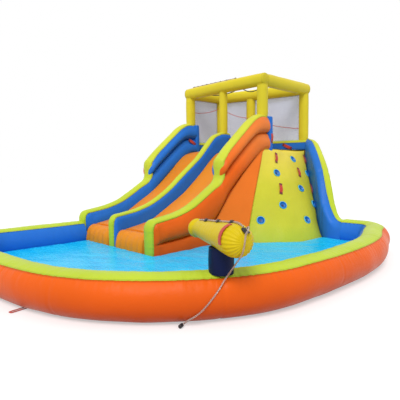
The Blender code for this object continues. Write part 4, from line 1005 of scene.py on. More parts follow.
def addTowerCore():
    corners = [flat(tower["left"], tower["front"]), flat(tower["right"], tower["front"]),
               flat(tower["right"], tower["cornerFront"]), flat(tower["cornerRight"], tower["cornerFront"]),
               flat(tower["cornerRight"], tower["backRight"]), flat(tower["left"], tower["backLeft"])]
    outline = []
    for a, b in zip(corners, corners[1:] + corners[:1]):
        length = (b - a).length
        way = (b - a).normalized()
        out = Vector((way.y, -way.x, 0.0))
        cells = max(1, round(length / tower["channel"]))
        steps = cells * 8
        # the back and the left side are free; the others stand against neighbours
        free = a.y > 0.7 or b.y > 0.7 or a.x < -0.9 or b.x < -0.9
        for k in range(steps):
            share = k / steps
            cell = abs(math.sin(math.pi * share * cells))
            lift = (cell ** 0.6 - 1.0) * tower["bulge"] if free else -0.004
            outline.append((a + way * (length * share) + out * lift, (1 - cell) * 0.02))
    count = len(outline)
    middle = flat(*tower["middle"])

    def shape(u, v):
        point, groove = outline[round(u * count) % count]
        z = tower["top"] * (1 - math.cos(math.pi * v)) / 2
        back = tubeEdge(min(z, tower["top"] - z), 0.06) * 0.35
        inward = (middle - point).normalized()
        return point + inward * back + upward * z, groove + 0.004
    core = addSkin("towerCore", count, 40, shape, capRings=4)
    ruffle(core, tower["folds"], 23.0)
    dress(core, finishes["orange"], nodes=("tower_core",))


def addPlatformFloor():
    # the floor between the bumper and the lanes
    inset, front = tower["floorInset"], 0.104
    left, right = tower["left"] + inset, tower["right"] - 0.004
    corners = [flat(left, front), flat(right, front), flat(right, backLine(tower["right"], inset)),
               flat(left, backLine(left, inset))]
    centre = flat(*tower["floorMiddle"])

    def shape(u, v):
        place = u * 4
        index = min(int(place), 3)
        point = corners[index].lerp(corners[(index + 1) % 4], place - index)
        size = 1.0 - tubeEdge(0.02 - 0.02 * v, 0.02) * 0.5
        return centre + (point - centre) * size + upward * (tower["top"] - 0.012 + 0.022 * v), 0.01
    floor = addSkin("platformFloor", 64, 6, shape, capRings=14, dome=0.010)
    ruffle(floor, tower["floorFolds"])
    dress(floor, finishes["laneOrange"])


def bumperPath(thick):
    # along the left side, round the corner and along the back
    left = tower["left"] + thick
    corner = flat(left, backLine(left, thick))
    last = flat(tower["cornerRight"] - 0.002, backLine(tower["cornerRight"], thick))
    first = flat(left, tower["front"] + 0.001)
    turnIn, turnOut = corner - flat(0, bumper["turn"]), corner + (last - corner).normalized() * bumper["turn"]
    path = [first.lerp(turnIn, k / 8) for k in range(8)]
    path += [turnIn, corner.lerp(turnIn.lerp(turnOut, 0.5), 0.35), turnOut]
    path += [turnOut.lerp(last, (k + 1) / 14) for k in range(14)]
    return path


def addBumper():
    # a low wall round the platform, lime on its top
    thick, stations = bumper["thick"] / 2, 150
    path = evenly(bumperPath(thick), stations + 1)
    ways = waysOf(path)
    base, top = tower["top"] + 0.001, bumper["top"] - 0.026

    def frameAt(v):
        j = round(v * stations)
        return path[j], Vector((ways[j].y, -ways[j].x, 0.0))

    def wallShape(u, v):
        point, right = frameAt(v)
        a, b = squareAt(2 * math.pi * u, 0.42, 0.50)
        z = (base + top) / 2 + b * (top - base) / 2
        return point + right * (a * (thick - 0.004)) + upward * z, min(z - base, top - z)
    wall = addSkin("bumperWall", 36, stations, wallShape, capRings=2)
    ruffle(wall, bumper["folds"], 31.0, creases=bumper["creases"])
    dress(wall, finishes["blue"], nodes=("bumper_wall",))

    def stripShape(u, v):
        point, right = frameAt(v)
        angle = math.radians(12 + 156 * (u * 2 if u <= 0.5 else 2 - u * 2))
        a, b = squareAt(angle, 0.7, 0.8)
        a *= thick if u <= 0.5 else thick - 0.012
        z = bumper["top"] - bumper["stripDrop"] + b * (0.064 if u <= 0.5 else 0.054)
        return point + right * a + upward * z, 0.02 * math.sin(angle)
    strip = addSkin("bumperStrip", 40, stations, stripShape, capRings=1)
    ruffle(strip, bumper["stripFolds"], 37.0)
    dress(strip, finishes["lime"], nodes=("bumper_trim",))


addTowerCore()
addPlatformFloor()
addBumper()
print("tower filled")


# The pool wall's sizes, which the climbing face's side wall runs into. Its path is in shares
# of the pool's width and reach, between two ends in metres.

pool = {
    "wide": 2.818, "reach": 3.84, "radius": 0.18, "stripHalf": 0.104, "floorTop": 0.105,
    "firstEnd": (1.9806, 0.40), "lastEnd": (-0.808, -2.2283), "slideEnd": -2.2283, "middle": (1.5, -2.5),
    "path": ((0.80, 0.106), (0.845, 0.088), (0.880, 0.045), (0.903, -0.010), (0.969, -0.148), (0.997, -0.286),
             (1.0, -0.417), (0.993, -0.521), (0.976, -0.625), (0.932, -0.717), (0.859, -0.800), (0.774, -0.867),
             (0.674, -0.922), (0.575, -0.956), (0.479, -0.977), (0.373, -0.990), (0.248, -0.998), (0.106, -1.0),
             (-0.035, -0.996), (-0.160, -0.982), (-0.255, -0.950), (-0.297, -0.885), (-0.294, -0.800),
             (-0.288, -0.700)),
    "stations": 640,
    "joints": (0.55, 1.45, 2.55, 3.75, 4.95, 6.2, 7.4, 8.4), "crease": 0.004,
    "folds": clothFolds(0.0050, 0.28, 0.0070, 0.08, 0.028),
}

# Climbing face, its side panel and its side wall

climb = {
    "endX": 1.98, "height": 1.39, "bulge": 0.05, "sideGap": 0.018, "wallFace": 0.9228, "behind": 0.031,
    "out": (0.87, -0.49),
    "foot": ((0.581, -0.607), (0.707, -0.440), (0.818, -0.285), (0.889, -0.050)),
    "top": ((0.470, -0.105), (0.4735, 0.100), (0.452, 0.280), (0.444, 0.510)),
    "edgeShare": 0.80, "topShare": 0.05,
    "panelEdge": (0.597, 0.583, 0.548, 0.462, 0.372, 0.266, 0.145, 0.070),
    "levels": (0.0, 0.10, 0.25, 0.42, 0.58, 0.74, 0.90, 1.0),
    "rear": ((0.90, 1.059), (0.759, 1.059), (0.759, 0.101), (0.923, 0.101)),
    "folds": clothFolds(0.006, 0.19, 0.004, 0.05, 0.04),
    "panelFolds": clothFolds(0.003, 0.22, 0.003, 0.05, 0.035), "panelSwell": 0.010,
}
climbOut = flat(*climb["out"])
sideWall = {
    "path": ((0.9003, 1.1999), (1.19988, 0.9295), (1.50084, 0.6604), (1.74042, 0.4602), (1.98, 0.40)),
    "top": 1.60, "half": 0.11, "outer": 0.058, "endHalf": 0.18, "settle": 0.8, "stripShares": (0.30, 0.90),
    "heights": ((0.0, 1.0), (0.2, 0.95), (0.4, 0.79), (0.59, 0.575), (0.70, 0.42), (0.82, 0.275), (0.905, 0.225),
                (1.0, 0.225)),
    "innerDeep": 0.085, "outerDeep": 0.062,
    "creases": (0.28, 0.55, 0.83, 1.10), "crease": 0.006,
    "folds": clothFolds(0.004, 0.18, 0.003, 0.05, 0.035),
}
sideWallPoints = [flat(*point) for point in sideWall["path"]]
sideWallHeights = smoothTable(sideWall["heights"], 60)


def sideWallHalf(share):
    return sideWall["half"] + (sideWall["endHalf"] - sideWall["half"]) * share


def sideWallNormal(share):
    way = (curveAt(sideWallPoints, share + 0.01) - curveAt(sideWallPoints, share - 0.01)).normalized()
    turn = min(1.0, share / 0.12, (1.0 - share) / 0.12)
    return Vector((0, -1, 0)).lerp(Vector((way.y, -way.x, 0.0)), turn).normalized()


def sideWallPoint(share, extra=0.0):
    # on the wall's inner face, or a little off it
    return curveAt(sideWallPoints, share) + sideWallNormal(share) * (sideWallHalf(share) + extra)


def climbEdge(shares, endShare):
    # the face's foot or top, which ends on the side wall
    points = [flat(a * climb["endX"], b * climb["height"]) for a, b in shares]
    return points + [sideWallPoint(endShare, climb["sideGap"])]


climbFoot = climbEdge(climb["foot"], climb["edgeShare"])
climbTop = climbEdge(climb["top"], climb["topShare"])


def climbPoint(across, up):
    # a point of the face; across runs from the slide to the side wall
    end = sideWallPoint(climb["edgeShare"] * (1 - up) + climb["topShare"] * up, climb["sideGap"])
    point = curveAt(climbFoot, across).lerp(curveAt(climbTop, across), up)
    point = point.lerp(end, max(across, 0.0) ** 4)
    bulge = climb["bulge"] * math.sin(math.pi * up) * math.sin(math.pi * across)
    return point + climbOut * bulge + upward * (up * climb["height"])


def climbNormal(across, up):
    step = 0.02
    sideways = climbPoint(min(across + step, 1.0), up) - climbPoint(across - step, up)
    upwards = climbPoint(across, min(up + step, 1.0)) - climbPoint(across, up - step)
    return sideways.cross(upwards).normalized()


holds = {
    "places": ((0.66, 0.89), (0.30, 0.74), (0.93, 0.72), (0.68, 0.565), (0.39, 0.41), (0.90, 0.39), (0.12, 0.27),
               (0.68, 0.25)),
    "radius": 0.058, "pocket": 0.042, "pocketEdge": 0.012, "pocketDeep": 0.034, "drawnIn": 0.004,
    # one cup from its middle: a flat floor, a sloping wall, a rolled rim and the back
    "profile": ((0.0, -0.019), (0.016, -0.020), (0.026, -0.018), (0.036, -0.010), (0.043, -0.001), (0.048, 0.005),
                (0.053, 0.007), (0.058, 0.005), (0.060, 0.000), (0.058, -0.006), (0.040, -0.026), (0.0, -0.030)),
    "backUnder": -0.0215,
}


def panelEdgeAt(up):
    # the side panel's edge on the right wall
    place = lookUp(list(zip(climb["levels"], climb["panelEdge"])), up) * slideWall["end"]
    return flat(climb["wallFace"], place) + upward * (up * climb["height"])


def addClimbFace():
    across, ups = 120, 110
    rear = [flat(*point) for point in climb["rear"]]
    middles = [(climbPoint(*place), climbNormal(*place)) for place in holds["places"]]
    behind = flat(0.0, climb["behind"])
    sideShares = (0.88, 0.75, 0.6, 0.45, 0.3, 0.12)

    def rowAt(up):
        # one level of the body: the face, along the side wall, and round the tower
        height = upward * (up * climb["height"])
        end = climb["edgeShare"] * (1 - up) + climb["topShare"] * up
        row = [(climbPoint(i / across, up), min(i / across * 1.2, (1 - i / across) * 1.2)) for i in range(across + 1)]
        row[0] = (row[0][0] + behind * 0.6, 0.0)
        row += [(sideWallPoint(end * share, climb["sideGap"]) + height, 0.3) for share in sideShares]
        row += [(point + height, 0.3) for point in rear]
        return row + [(panelEdgeAt(up) + behind, 0.3)]
    rows = {}
    count = across + 1 + len(sideShares) + len(rear) + 1

    def pocketed(point):
        # the cloth sinks in under each foothold and is drawn in round it
        for centre, normal in middles:
            gap = point - centre
            if gap.length < 0.09:
                out = (gap - normal * gap.dot(normal)).length
                dent = 1.0 - min(1.0, max(0.0, (out - holds["pocket"]) / holds["pocketEdge"]))
                pull = math.exp(-((out - holds["radius"]) / 0.018) ** 2) * holds["drawnIn"]
                point = point - normal * (holds["pocketDeep"] * dent + pull)
        return point

    def shape(u, v):
        if v not in rows:
            rows[v] = rowAt(v)
        i = round(u * count) % count
        point, seam = rows[v][i]
        if i <= across:
            tuck = tubeEdge((1 - v) * climb["height"], 0.05)
            point = pocketed(point) - climbOut * (tuck * 0.8)
        return point, min(seam, (1 - v) * climb["height"], v * climb["height"] + 0.02)
    face = addSkin("climbFace", count, ups, shape, capRings=3)
    ruffle(face, climb["folds"], 41.0)
    dress(face, finishes["climb"], nodes=("climb_face",))


def addSidePanel():
    steps = 20

    def shape(u, v):
        edge, corner = panelEdgeAt(v), climbPoint(0.0, v)
        i = round(u * (2 * steps))
        share = i / steps if i <= steps else 2 - i / steps
        swell = climb["panelSwell"] * math.sin(math.pi * share) * math.sin(math.pi * v)
        out = flat(0.0, -1.0) * swell if i <= steps else flat(0.0, 0.030)
        return edge.lerp(corner, share) + out, min(share, 1 - share) * (edge - corner).length
    panel = addSkin("climbSidePanel", 2 * steps, 70, shape, capRings=1)
    ruffle(panel, climb["panelFolds"], 43.0)
    dress(panel, finishes["panelOrange"], nodes=("climb_side_panel",))


def addFoothold():
    # one cup, modelled once
    stations = 32
    line = evenly([Vector(point) for point in holds["profile"]], stations + 1)

    def shape(u, v):
        point = line[round(v * stations)]
        angle = 2 * math.pi * u
        return Vector((point.x * math.cos(angle), point.x * math.sin(angle), point.y)), 1.0
    cup = addSkin("foothold", 40, stations, shape, capRings=1, shift=False)
    # its rings of colour read this distance from the middle; the back counts as rim
    values = [vertex.co.xy.length if vertex.co.z > holds["backUnder"] else 0.06 for vertex in cup.data.vertices]
    cup.data.attributes["run"].data.foreach_set("value", values)
    return cup


def copyTo(source, name, matrix):
    made = source.copy()
    made.data = source.data.copy()
    bpy.context.collection.objects.link(made)
    made.name = name
    made.data.name = name
    made.data.transform(matrix)
    made.data.update()
    return made


def frameOn(point, normal, way):
    # local z out of the surface, local y along the way
    up = normal.normalized()
    side = way.cross(up).normalized()
    ahead = up.cross(side)
    return Matrix((
        (side.x, ahead.x, up.x, point.x),
        (side.y, ahead.y, up.y, point.y - towerSetback),
        (side.z, ahead.z, up.z, point.z),
        (0.0, 0.0, 0.0, 1.0)))


def addFootholds():
    cup = addFoothold()
    for number, place in enumerate(holds["places"]):
        point, normal = climbPoint(*place), climbNormal(*place)
        made = copyTo(cup, "foothold%d" % (number + 1), frameOn(point - normal * 0.001, normal, upward))
        dress(made, finishes["hold"])
    bpy.data.objects.remove(cup, do_unlink=True)


def addSideWall():
    stations, faces, fine = 120, 20, 400
    points = [curveAt(sideWallPoints, k / fine) for k in range(fine + 1)]
    runs = [lengthOf(points[:round(fine * k / stations) + 1]) for k in range(stations + 1)]

    def settled(v, before, after):
        # towards its end the wall takes the pool wall's section
        turn = max(0.0, (v - sideWall["settle"]) / (1 - sideWall["settle"]))
        return before + (after - before) * turn ** 1.5

    def crownOf(v, side):
        # the half width on this side, and how deep its rounded top is
        half = sideWallHalf(v) if side > 0 else settled(v, sideWall["outer"], sideWall["endHalf"])
        deep = sideWall["innerDeep"] if side > 0 else sideWall["outerDeep"]
        return half - 0.002, settled(v, deep, sideWall["endHalf"])

    def reachOf(v, side):
        # how far the strip reaches to this side
        share = sideWall["stripShares"][0 if side > 0 else 1]
        return settled(v, crownOf(v, side)[0] * share, pool["stripHalf"])

    def topOf(v):
        return sideWall["top"] * lookUp(sideWallHeights, v) - 0.006

    def halfShape(side):
        def shape(u, v):
            point, normal = curveAt(sideWallPoints, v), sideWallNormal(v)
            half, deep = crownOf(v, side)
            top = topOf(v)
            i = round(u * (faces + 3)) % (faces + 3)
            if i == 0:
                across, z, seam = 0.0, 0.0, 0.1
            elif i <= faces + 1:
                share = (1 - math.cos(math.pi * (i - 1) / faces)) / 2
                z = top * share
                across = half * (1 - tubeEdge(top - z, deep) / deep)
                across += 0.006 * math.sin(math.pi * min(1.0, z / (top - deep)))
                across -= tubeEdge(z, 0.05) * 0.35
                seam = min(z + 0.02, abs(across - reachOf(v, side)) + max(0.0, top - deep - z))
            else:
                across, z, seam = 0.0, top, 0.1
            return point + normal * (side * across) + upward * z, seam
        return shape
    creased = {"creases": sideWall["creases"], "crease": sideWall["crease"]}
    for part, side, finish in (("inner", 1, "blue"), ("outer", -1, "orange")):
        skin = addSkin("climbWall" + part.capitalize(), faces + 3, stations, halfShape(side), capRings=1, runs=runs)
        ruffle(skin, sideWall["folds"], 47.0, **creased)
        dress(skin, finishes[finish], nodes=("climb_wall_" + part,))

    def stripShape(u, v):
        point, normal = curveAt(sideWallPoints, v), sideWallNormal(v)
        share = 2 * u if u <= 0.5 else 2 - 2 * u
        inner, outer = reachOf(v, 1), reachOf(v, -1)
        across = -outer + (inner + outer) * share
        half, deep = crownOf(v, 1 if across > 0 else -1)
        lean = min(0.97, abs(across) / half)
        rise = math.sqrt(1 - lean * lean)
        out = Vector((math.copysign(deep * lean, across), half * rise)).normalized()
        lift = 0.004 if u <= 0.5 else -0.010
        z = topOf(v) - deep * (1 - rise) + out.y * lift
        return point + normal * (across + out.x * lift) + upward * z, min(share, 1 - share) * (inner + outer)
    strip = addSkin("climbWallStrip", 40, stations, stripShape, capRings=1, runs=runs)
    ruffle(strip, sideWall["folds"], 47.0, **creased)
    dress(strip, finishes["lime"], nodes=("climb_wall_trim",))


addClimbFace()
addSidePanel()
addFootholds()
addSideWall()
print("climbing face filled")


# Red handles: a strap sewn down at both ends with a doubled fold

handle = {
    "length": 0.18, "wide": 0.048, "thick": 0.0035, "arch": 0.012, "foldLength": 0.030,
    "onClimb": ((0.28, 0.90), (0.93, 0.885), (0.70, 0.735), (0.36, 0.57), (0.93, 0.55)),
    "onBumper": 1.470,
    "onWalls": ((-0.6815, -0.09, 1.57), (0.9375, 0.06, 1.57), (0.0855, 0.06, 1.51)),
}


def addHandle():
    reach, around, stations = handle["length"] / 2, 12, 40

    def shape(u, v):
        share = v * 2 - 1
        lift = 0.0012 + handle["arch"] * max(0.0, 1 - (abs(share) / 0.72) ** 2.2)
        i = round(u * around) % around
        sideways = (-1, -0.6, 0, 0.6, 1, 1, 1, 0.6, 0, -0.6, -1, -1)[i]
        atEdge = i in (5, 11)
        lift += handle["thick"] if i < 5 else handle["thick"] * 0.5 if atEdge else 0.0
        wide = handle["wide"] / 2 * (1.03 if atEdge else 1.0)
        return Vector((sideways * wide, share * reach, lift)), (1 - abs(sideways)) * wide
    strap = addSkin("strap", around, stations, shape, capRings=1, shift=False)
    ends = []
    for direction in (-1, 1):
        def fold(u, v, direction=direction):
            a, b = squareAt(2 * math.pi * u, 0.3, 0.6)
            y = direction * (reach - handle["foldLength"] + (handle["foldLength"] + 0.001) * v)
            return Vector((a * (handle["wide"] / 2 + 0.001), y, 0.0044 + b * 0.0030)), 0.01
        ends.append(addSkin("fold", 24, 12, fold, capRings=1, dome=0.001, shift=False))
    return strap, join("folds", ends)


def handlePlaces():
    # for each handle its middle, the way it faces and the way it runs
    places = []
    for across, up in handle["onClimb"]:
        normal = climbNormal(across, up)
        line = climbPoint(across, up + 0.06) - climbPoint(across, up - 0.06)
        places.append((climbPoint(across, up) + normal * 0.005, normal, line.normalized()))
    slope = Vector((tower["cornerRight"] - tower["left"], tower["backRight"] - tower["backLeft"], 0)).normalized()
    x = tower["right"] - handle["length"]
    places.append((flat(x, backLine(x, 0.2)) + upward * handle["onBumper"], Vector((slope.y, -slope.x, 0)),
                   slope * 2 - upward))
    for point, way in zip(handle["onWalls"], (Vector((0, 2, -1)), upward, upward)):
        places.append((Vector(point), Vector((1, 0, 0)), way))
    return places


def addHandles():
    strap, folds = addHandle()
    names = ["climb_handle_%d" % (k + 1) for k in range(len(handle["onClimb"]))]
    names += ["bumper_handle", "left_wall_handle", "right_wall_handle", "middle_wall_handle"]
    for node, (point, normal, way) in zip(names, handlePlaces()):
        matrix = frameOn(point, normal, way.normalized())
        words = node.split("_")
        label = words[0] + "".join(word.capitalize() for word in words[1:])
        dress(copyTo(strap, label, matrix), finishes["red"], nodes=(node,))
        # painted shade: the doubled ends are coloured dark for the fold's shadow
        dress(copyTo(folds, label + "Folds", matrix), finishes["foldShadeRed"])
    for source in (strap, folds):
        bpy.data.objects.remove(source, do_unlink=True)


addHandles()
print("handles sewn on")


# Canopy: posts and beams

canopy = {
    "top": 2.54, "beamHeight": 0.19, "beamWidth": 0.18, "backInset": 0.10, "middleBackX": -0.172,
    "postWide": 0.16, "middleWide": 0.132, "rightWide": 0.165, "sideFoot": 1.906, "middleFoot": 1.69, "sink": 0.02,
    "postFolds": clothFolds(0.0025, 0.15, 0.003, 0.05, 0.03),
    "beamFolds": clothFolds(0.0025, 0.16, 0.003, 0.05, 0.03),
}


def backPost(x):
    return flat(x, backLine(x, canopy["backInset"]))


def addPost(name, node, centre, width, foot):
    # both ends sink into what they are sewn to
    top = canopy["top"] - canopy["beamHeight"] + canopy["sink"]
    low = foot - canopy["sink"]

    def shape(u, v):
        a, b = squareAt(2 * math.pi * u, 0.90)
        half = width / 2 * (0.94 + 0.06 * min(1.0, math.sin(math.pi * v) * 2.2))
        return centre + flat(a * half, b * half) + upward * (low + (top - low) * v), min(v, 1 - v) * (top - low)
    skin = addSkin(name, 36, 70, shape, capRings=2)
    ruffle(skin, canopy["postFolds"], centre.x * 9)
    dress(skin, finishes["yellow"], nodes=(node,))


def addBeam(name, node, start, end, alongX):
    middle = canopy["top"] - canopy["beamHeight"] / 2
    length = (end - start).length

    def shape(u, v):
        a, b = squareAt(2 * math.pi * u, 0.88)
        swell = 0.965 + 0.035 * min(1.0, math.sin(math.pi * v) * 3.0)
        wide = a * canopy["beamWidth"] / 2 * swell
        offset = flat(0.0, wide) if alongX else flat(wide, 0.0)
        z = middle + b * canopy["beamHeight"] / 2 * swell
        return start.lerp(end, v) + offset + upward * z, min(v, 1 - v) * length
    skin = addSkin(name, 36, 110, shape, capRings=8, dome=0.032)
    ruffle(skin, canopy["beamFolds"], length * 7)
    dress(skin, finishes["yellow"], nodes=(node,))


def addCanopy():
    wallX, wide = slideWall["centre"], canopy["postWide"]
    addPost("postLeft", "post_left", flat(-wallX, 0), wide, canopy["sideFoot"])
    addPost("postMiddle", "post_middle", flat(0, 0), canopy["middleWide"], canopy["middleFoot"])
    addPost("postRight", "post_right", flat(wallX, 0), canopy["rightWide"], canopy["sideFoot"])
    addPost("postBackLeft", "post_back_left", backPost(-wallX), wide, bumper["top"])
    addPost("postBackMiddle", "post_back_middle", backPost(canopy["middleBackX"]), wide, bumper["top"])
    addPost("postBackRight", "post_back_right", backPost(wallX), wide, bumper["top"])
    half = canopy["beamWidth"] / 2
    end = wallX + half
    addBeam("beamFront", "beam_front", flat(-end + 0.040, 0), flat(end - 0.040, 0), True)
    for name, node, x in (("beamLeft", "beam_left", -wallX), ("beamRight", "beam_right", wallX)):
        addBeam(name, node, flat(x, half - 0.05), backPost(x) + flat(0, half - 0.036), False)
    addBeam("beamBack", "beam_back", backPost(-wallX + half - 0.03), backPost(wallX - half + 0.03), True)


addCanopy()
print("canopy filled")


# Window nets: crossed bands of cloth thread, hemmed all round

net = {"setback": 0.02, "pitch": 0.011, "thread": 0.0066, "hem": 0.016, "thick": 0.003,
       "sideStart": 0.10, "postHalf": 0.08}


def addRibbon(name, start, end, side, out, wide, thick):
    def shape(u, v):
        a, b = squareAt(2 * math.pi * (u + 0.125), 0.8)
        return start.lerp(end, v) + side * (a * wide / 2) + out * (b * thick / 2), 0.02
    return addSkin(name, 4, 1, shape, capRings=1)


def addNet(name, node, start, end, startHalf, endHalf):
    # between two posts; startHalf and endHalf keep it clear of their middles
    way = (end - start).normalized()
    out = Vector((-way.y, way.x, 0))
    stretch = max(abs(way.x), abs(way.y))
    first = start + way * (startHalf / stretch + 0.001) + out * net["setback"]
    last = end - way * (endHalf / stretch + 0.001) + out * net["setback"]
    low, high = upward * (bumper["top"] - 0.002), upward * (canopy["top"] - canopy["beamHeight"] + 0.002)
    across, rise = last - first, high - low
    columns, rows = round(across.length / net["pitch"]), round(rise.length / net["pitch"])
    wide, thick = net["thread"], net["thick"]
    parts = []
    # one thread each way is modelled, and an array repeats it
    standing = addRibbon("standing", first + low, first + high, way, out, wide, thick)
    level = addRibbon("level", first + low, last + low, upward, out, wide, thick * 0.8)
    for thread, count, step in ((standing, columns, across / columns), (level, rows, rise / rows)):
        selectOnly(thread)
        bpy.ops.object.modifier_add(type="ARRAY")
        repeat = thread.modifiers[-1]
        repeat.count = count + 1
        repeat.use_relative_offset = False
        repeat.use_constant_offset = True
        repeat.constant_offset_displace = step
        bpy.ops.object.modifier_apply(modifier=repeat.name)
        parts.append(thread)
    for height in (low, high):
        parts.append(addRibbon("hem", first + height, last + height, upward, out, net["hem"], thick * 2))
    for place in (first, last):
        parts.append(addRibbon("hem", place + low, place + high, way, out, net["hem"], thick * 2))
    dress(join(name, parts), finishes["net"], nodes=(node,))


def addNets():
    wallX = slideWall["centre"]
    leftBack, middleBack, rightBack = backPost(-wallX), backPost(canopy["middleBackX"]), backPost(wallX)
    half = net["postHalf"]
    addNet("netLeft", "net_left", flat(-wallX, net["sideStart"]), leftBack, 0.0, half)
    addNet("netBackLeft", "net_back_left", leftBack, middleBack, half, half)
    addNet("netBackRight", "net_back_right", middleBack, rightBack, half, half)


addNets()
print("nets hung")


# Pool wall and floor

poolControl = [flat(*pool["firstEnd"])] + [flat(a * pool["wide"], b * pool["reach"]) for a, b in pool["path"]]
poolControl += [flat(*pool["lastEnd"])]
poolPath = evenly(poolControl, pool["stations"] + 1)


def poolNormal(index):
    if index == 0:
        return Vector((0, -1, 0))
    if index == pool["stations"]:
        return Vector((1, 0, 0))
    way = (poolPath[index + 1] - poolPath[index - 1]).normalized()
    return Vector((way.y, -way.x, 0.0))


poolNormals = [poolNormal(index) for index in range(pool["stations"] + 1)]


def addPoolWall():
    radius = pool["radius"]
    seamAngle = math.degrees(math.acos(pool["stripHalf"] / radius))
    stations, faces = pool["stations"], 24
    runs = [lengthOf(poolPath) * j / stations for j in range(stations + 1)]
    # half of the tube's section, from under the strip to the ground
    loop = [(0.0, radius * (1 + math.sin(math.radians(seamAngle + 4))), 0.0)]
    for k in range(faces + 1):
        angle = math.radians(seamAngle + 3 - (seamAngle + 3 + 76) * k / faces)
        seam = abs(seamAngle - math.degrees(angle)) / 57.3 * radius
        loop.append((radius * math.cos(angle), radius * (1 + math.sin(angle)), seam))
    loop += [(0.036, 0.0, 0.3), (0.0, 0.0, 0.3)]

    def halfShape(side):
        def shape(u, v):
            j = round(v * stations)
            a, b, seam = loop[round(u * len(loop)) % len(loop)]
            return poolPath[j] + poolNormals[j] * (side * a) + upward * b, seam
        return shape
    for part, side, finish in (("outer", -1, "orange"), ("inner", 1, "blue")):
        skin = addSkin("poolWall" + part.capitalize(), len(loop), stations, halfShape(side), capRings=1, runs=runs)
        ruffle(skin, pool["folds"], 59.0, creases=pool["joints"], crease=pool["crease"])
        dress(skin, finishes[finish], nodes=("pool_wall_" + part,))

    def stripShape(u, v):
        j = round(v * stations)
        share = 2 * u if u <= 0.5 else 2 - 2 * u
        angle = math.radians(seamAngle + (180 - 2 * seamAngle) * share)
        size = radius + (0.003 if u <= 0.5 else -0.010)
        seam = min(share, 1 - share) * math.radians(180 - 2 * seamAngle) * radius
        z = radius + size * math.sin(angle)
        return poolPath[j] + poolNormals[j] * (-size * math.cos(angle)) + upward * z, seam
    strip = addSkin("poolWallStrip", 36, stations, stripShape, capRings=1, runs=runs)
    ruffle(strip, pool["folds"], 59.0, creases=pool["joints"], crease=pool["crease"])
    dress(strip, finishes["lime"], nodes=("pool_wall_trim",))


def poolFloorEdge():
    # where the liner meets the walls round it
    inset = math.sqrt(pool["radius"] ** 2 - (pool["radius"] - pool["floorTop"]) ** 2) - 0.012
    edge = [point + normal * inset for point, normal in list(zip(poolPath, poolNormals))[::8]]
    edge += [flat(climb["wallFace"], pool["slideEnd"]), panelEdgeAt(0.0)]
    edge += [climbPoint(k / 12, 0.0) for k in range(13)]
    edge += [sideWallPoint(share) for share in (0.84, 0.88, 0.92, 0.96, 1.0)]
    return edge


def straightSteps(points, count):
    # a closed outline as points at equal steps, straight between the corners
    ring = points + points[:1]
    runs = runsOf(ring)
    k, outline = 0, []
    for i in range(count):
        goal = runs[-1] * i / count
        while runs[k + 1] < goal:
            k += 1
        outline.append(ring[k].lerp(ring[k + 1], (goal - runs[k]) / max(1e-6, runs[k + 1] - runs[k])))
    return outline


def addPoolFloor():
    count, rings, rim = 300, 70, 0.1
    outline = straightSteps(poolFloorEdge(), count)
    centre = flat(*pool["middle"])

    def shape(u, v):
        # up the rim, then in rings to the middle, with the slack liner's waves
        point = outline[round(u * count) % count]
        if v < rim:
            return point + upward * (0.004 + (pool["floorTop"] - 0.010) * (v / rim)), 0.3
        place = centre.lerp(point, 0.004 + 0.996 * (1 - (v - rim) / (1 - rim)))
        across = Vector((place.x * 0.76 + place.y * 0.64, (place.y * 0.76 - place.x * 0.64) * 2.6, 0.0))
        wave = noise.noise(across * 2.6) * 0.006 + noise.noise(across * 6.5) * 0.0030
        near = tubeEdge((point - place).length, 0.03) * 0.3
        return place + upward * (pool["floorTop"] - 0.006 + wave - near), 0.3
    floor = addSkin("poolFloor", count, rings, shape, capRings=1)
    dress(floor, finishes["pool"], nodes=("pool_floor",))


addPoolWall()
addPoolFloor()
print("pool filled")


# Spray line on the front beam

spray = {
    "radius": 0.008, "startX": -0.732, "endX": 0.288, "height": 2.5483,
    "nozzleX": (-0.50, 0.28), "nozzleY": 0.118, "nozzleZ": 2.415, "sags": (0.06, 0.09), "feedRadius": 0.007,
    "feedEnd": (0.7177, 0.160), "feedLead": 0.05,
    "ties": (-0.70, -0.60, -0.49, -0.38, -0.28, -0.18, -0.06, 0.08, 0.27),
    # a nozzle, as (radius, place): the flared cone, then the threaded collar
    "nozzle": ((0.0, 0.034), (0.012, 0.034), (0.017, 0.030), (0.026, 0.012), (0.029, 0.004), (0.029, -0.002),
               (0.022, -0.006), (0.014, -0.008), (0.014, -0.014), (0.0165, -0.016), (0.0165, -0.020),
               (0.014, -0.022), (0.014, -0.026), (0.0165, -0.028), (0.0165, -0.032), (0.010, -0.036), (0.0, -0.036)),
    "tilt": -18.0,
}


def addSprayHose():
    line = [Vector((spray["startX"] + (spray["endX"] - spray["startX"]) * k / 12, 0.0,
                    spray["height"] + 0.0015 * math.sin(k * 2.1))) for k in range(13)]
    hose, _ = addTube("sprayHose", line, spray["radius"], sides=12, stations=90)
    dress(hose, finishes["clear"], nodes=("spray_hose",))

    def tieShape(u, v):
        # a black tie looped over the hose, with its ends on the beam
        angle = math.pi * (v * 1.2 - 0.1)
        turn = 2 * math.pi * u
        reach = spray["radius"] + 0.0025 + 0.0022 * math.cos(turn)
        return Vector((0.0055 * math.sin(turn), math.cos(angle) * reach * 1.35, math.sin(angle) * reach - 0.001)), 1.0
    tie = addSkin("tie", 10, 20, tieShape, capRings=1, shift=False)
    for number, x in enumerate(spray["ties"]):
        made = copyTo(tie, "sprayTie%d" % (number + 1), Matrix.Translation((x, -towerSetback, spray["height"])))
        dress(made, finishes["black"])
    bpy.data.objects.remove(tie, do_unlink=True)


